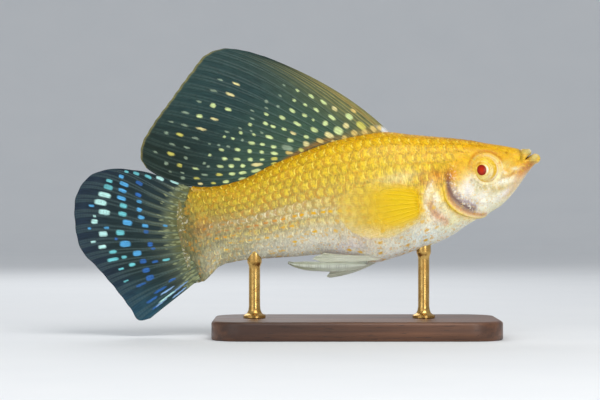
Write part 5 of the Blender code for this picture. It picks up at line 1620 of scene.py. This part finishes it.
def walnut():
    """Grain from noise stretched along the board, bent by a slower noise, with short dark pores."""
    f = Finish("oiled_walnut", Coat_Weight=0.12, Coat_Roughness=0.3)
    bend = f.noise(1.0, 2.0, f.stretched((18, 60, 60)))
    lines = f.noise(1.0, 5.0, f.stretched((14, 420, 420)))
    fine = f.noise(1.0, 4.0, f.stretched((60, 2400, 2400)))
    pores = f.span(f.noise(1.0, 2.0, f.stretched((260, 4200, 4200))), 0.62, 0.7)
    grain = f.calc("ADD", f.times(lines, 0.7), f.times(bend, 0.5))
    colour = f.mix(f.span(grain, 0.42, 0.76), rgb(58, 34, 22), rgb(118, 76, 48))
    colour = f.mix(f.span(fine, 0.35, 0.7, 0.0, 0.35), colour, rgb(82, 50, 32))
    f.into(f.over(colour, rgb(32, 19, 13), pores, 0.7), "Base Color")
    f.into(f.span(fine, 0.3, 0.7, 0.36, 0.52), "Roughness")
    f.bump(f.calc("SUBTRACT", fine, pores), 0.25, 0.05)
    return f.material


BASE_CENTRE, BASE_SIZE, BASE_CORNER, LEAST_CORNER, BASE_EDGE = 13.0, (76.0, 42.0, 5.0), 9.0, 0.4, 0.9


def rounded(inset, z, steps=24):
    """Outline of the base at a height: quarter circles at the corners, drawn in by the inset."""
    quarter = np.linspace(0, math.pi / 2, steps)
    turn = np.concatenate([quarter + k * math.pi / 2 for k in range(4)])
    radius = max(BASE_CORNER - inset, LEAST_CORNER)
    extra = max(inset - (BASE_CORNER - LEAST_CORNER), 0.0)
    right = np.repeat([1, -1, -1, 1], steps) * (BASE_SIZE[0] / 2 - BASE_CORNER - extra)
    far = np.repeat([1, 1, -1, -1], steps) * (BASE_SIZE[1] / 2 - BASE_CORNER - extra)
    x, y = BASE_CENTRE + right + radius * np.cos(turn), far + radius * np.sin(turn)
    return np.stack([x, y, np.full(len(turn), z)], axis=-1)


edge_start = BASE_SIZE[2] - BASE_EDGE
profile = [(4.0, 0.0), (0.5, 0.0), (0.25, 0.06), (0.0, 0.3), (0.0, 2.2), (0.0, edge_start)]
profile += [(BASE_EDGE * (1 - math.cos(a)), edge_start + BASE_EDGE * math.sin(a))
            for a in np.linspace(0, math.pi / 2, 9)[1:]]
profile += [(inset, BASE_SIZE[2]) for inset in (2.0, 8.5, 14.0, 19.5)]
base_rings = np.stack([rounded(inset, z) for inset, z in profile])
ring_size = base_rings.shape[1]
caps = [np.arange(ring_size)[None, ::-1], (len(profile) - 1) * ring_size + np.arange(ring_size)[None]]
piece("plinth", base_rings.reshape(-1, 3) * MM, [grid_faces(len(profile), ring_size, wrap=True)] + caps,
      walnut(), ("stand_base",), None, 50)

# %% [markdown]
# ## The brass rods
# Each rod is turned on a lathe: a profile of radius against height, spun round an axis. Only its top isn't
# round: the pad there is cut to the belly, so its height is read from the skin's own points, nearest ones
# first.

# %% Rods
ROD_PROFILE = ((2.7, 0.0), (3.0, 0.15), (3.0, 0.75), (2.7, 1.0), (2.2, 1.15), (1.9, 1.5), (1.62, 2.2),
               (1.5, 3.2))
LATHE_SIDES, PAD_RADIUS = 64, 1.9


def brass():
    """Satin brass: fine rings from turning, a few soft scuffs and slightly darker patches."""
    f = Finish("satin_brass", Metallic=1.0)
    scuffs = f.noise(1.6, 4.0)
    rings = f.noise(1.0, 2.0, f.stretched((90, 90, 9000)))
    f.into(f.mix(f.span(scuffs, 0.35, 0.7), rgb(206, 168, 98), rgb(184, 142, 76)), "Base Color")
    f.into(f.span(scuffs, 0.3, 0.7, 0.2, 0.34), "Roughness")
    f.bump(f.calc("ADD", rings, scuffs), 0.12, 0.02)
    return f.material


skin_stand = placed(skin_points) / MM
belly_points = skin_stand[skin_stand[:, 2] < placed(plain_skin(np.array([44.0]), 1.6))[0, 2] / MM]


def belly_height(x, y):
    """Height of the skin above a place of the base: the mean of nearby belly points, weighted by a bell."""
    gaps = np.hypot(belly_points[:, 0] - np.ravel(x)[:, None], belly_points[:, 1] - np.ravel(y)[:, None])
    weights = bell(gaps, 0.35) + 1e-30
    return ((weights * belly_points[:, 2]).sum(1) / weights.sum(1)).reshape(np.shape(x))


def stand_rod(name, x, node):
    """Lathe rings from the foot to the pad, then rings on the belly that shrink to the axis."""
    turn = round_angles(LATHE_SIDES)
    shares = np.array([1.0, 0.9, 0.6, 0.3])[:, None]
    tops = np.stack([x + PAD_RADIUS * shares * np.cos(turn), PAD_RADIUS * shares * np.sin(turn)], axis=-1)
    heights = belly_height(tops[..., 0], tops[..., 1]) + np.array([-0.25, -0.05, 0.0, 0.0])[:, None]
    low = heights[0].min()
    neck = ((1.5, low - 2.6), (1.52, low - 1.9), (1.7, low - 1.3), (1.9, low - 0.9), (1.95, low - 0.5))
    rings = [(radius, BASE_SIZE[2] + z) for radius, z in ROD_PROFILE] + list(neck)
    body = [np.stack([x + radius * np.cos(turn), radius * np.sin(turn), np.full(LATHE_SIDES, z)], axis=-1)
            for radius, z in rings]
    grid = np.concatenate([np.stack(body), np.concatenate([tops, heights[..., None]], axis=-1)])
    poles = np.array([[x, 0.0, BASE_SIZE[2]], [x, 0.0, belly_height(np.array([x]), np.array([0.0]))[0]]])
    piece(name, np.concatenate([grid.reshape(-1, 3), poles]) * MM, tube_faces(len(grid), LATHE_SIDES), satin,
          (node,), None, 45)


satin = brass()
stand_rod("rod_front", 31.0, "stand_rod_front")
stand_rod("rod_rear", -14.0, "stand_rod_rear")

# %% [markdown]
# ## Camera, light and floor
# The fish was photographed from its side, level with its middle, by a long lens, so the camera stands off
# and its lens gives the same framing. A wide soft light from above and in front gives the gentle gloss, a
# weaker one fills from the side, and one behind lets the fins glow. The pale floor curves up all round like
# a studio cove.

# %% Studio
VIEW_CENTRE, VIEW_WIDTH, VIEW_DISTANCE = (-1.9, 36.4), 159.6, 600.0
camera = bpy.data.cameras.new("camera")
camera.lens = camera.sensor_width * VIEW_DISTANCE / VIEW_WIDTH
camera.clip_start = 0.01
holder = bpy.data.objects.new("camera", camera)
holder.location = (VIEW_CENTRE[0] * MM, -VIEW_DISTANCE * MM, VIEW_CENTRE[1] * MM)
holder.rotation_euler = (math.pi / 2, 0.0, 0.0)
bpy.context.scene.collection.objects.link(holder)
bpy.context.scene.camera = holder


def softbox(name, place, aim, size, watts, colour):
    """A square area light at a place, in metres, turned to face its aim."""
    lamp = bpy.data.lights.new(name, "AREA")
    lamp.size, lamp.energy, lamp.color = size, watts, colour
    box = bpy.data.objects.new(name, lamp)
    box.location = place
    way = np.subtract(aim, place)
    level = math.hypot(way[0], way[1])
    box.rotation_euler = (math.atan2(level, -way[2]), 0.0, math.atan2(way[1], way[0]) - math.pi / 2)
    box.visible_camera = False
    bpy.context.scene.collection.objects.link(box)


AIM = (0.0, 0.0, 0.04)
softbox("key", (0.14, -0.36, 0.48), AIM, 0.34, 1.8, (1.0, 0.98, 0.95))
softbox("fill", (-0.4, -0.44, 0.2), AIM, 0.4, 0.7, (0.97, 0.99, 1.0))
softbox("low", (0.2, -0.42, 0.075), (0.0, 0.0, 0.03), 0.14, 0.3, (1.0, 1.0, 1.0))
softbox("rim", (-0.1, 0.42, 0.34), AIM, 0.3, 0.65, (1.0, 1.0, 1.0))


def cove():
    """A floor spun round the upright axis: flat, then a quarter circle up to a tall wall."""
    sides = 96
    turn, bend = round_angles(sides), np.linspace(0, math.pi / 2, 14)
    radii = np.concatenate([[0.2, 0.6, 0.8], 1.0 + 0.5 * np.sin(bend)])[:, None]
    heights = np.concatenate([[0.0, 0.0, 0.0], 0.5 - 0.5 * np.cos(bend)])[:, None]
    rings = np.stack([radii * np.cos(turn), radii * np.sin(turn), heights + 0 * turn], -1)
    points = np.concatenate([rings.reshape(-1, 3), [[0.0, 0.0, 0.0]]])
    faces = grid_faces(len(radii), sides, wrap=True).tolist()
    faces += fan_faces(np.arange(sides)[::-1], len(points) - 1).tolist()
    mesh = bpy.data.meshes.new("floor")
    mesh.from_pydata(points.tolist(), [], faces)
    mesh.shade_smooth()
    f = Finish("pale_floor", Roughness=0.9)
    f.into(f.mix(f.noise(40.0, 2.0), rgb(234, 236, 238), rgb(228, 231, 234)), "Base Color")
    mesh.materials.append(f.material)
    made = bpy.data.objects.new("floor", mesh)
    bpy.context.scene.collection.objects.link(made)


cove()
world = bpy.data.worlds.new("soft_room")
world.use_nodes = True
world.node_tree.nodes["Background"].inputs["Color"].default_value = (0.93, 0.96, 1.0, 1.0)
world.node_tree.nodes["Background"].inputs["Strength"].default_value = 0.5
bpy.context.scene.world = world
bpy.context.scene.view_settings.view_transform = "Standard"
print("Lens", round(camera.lens, 1), "mm")
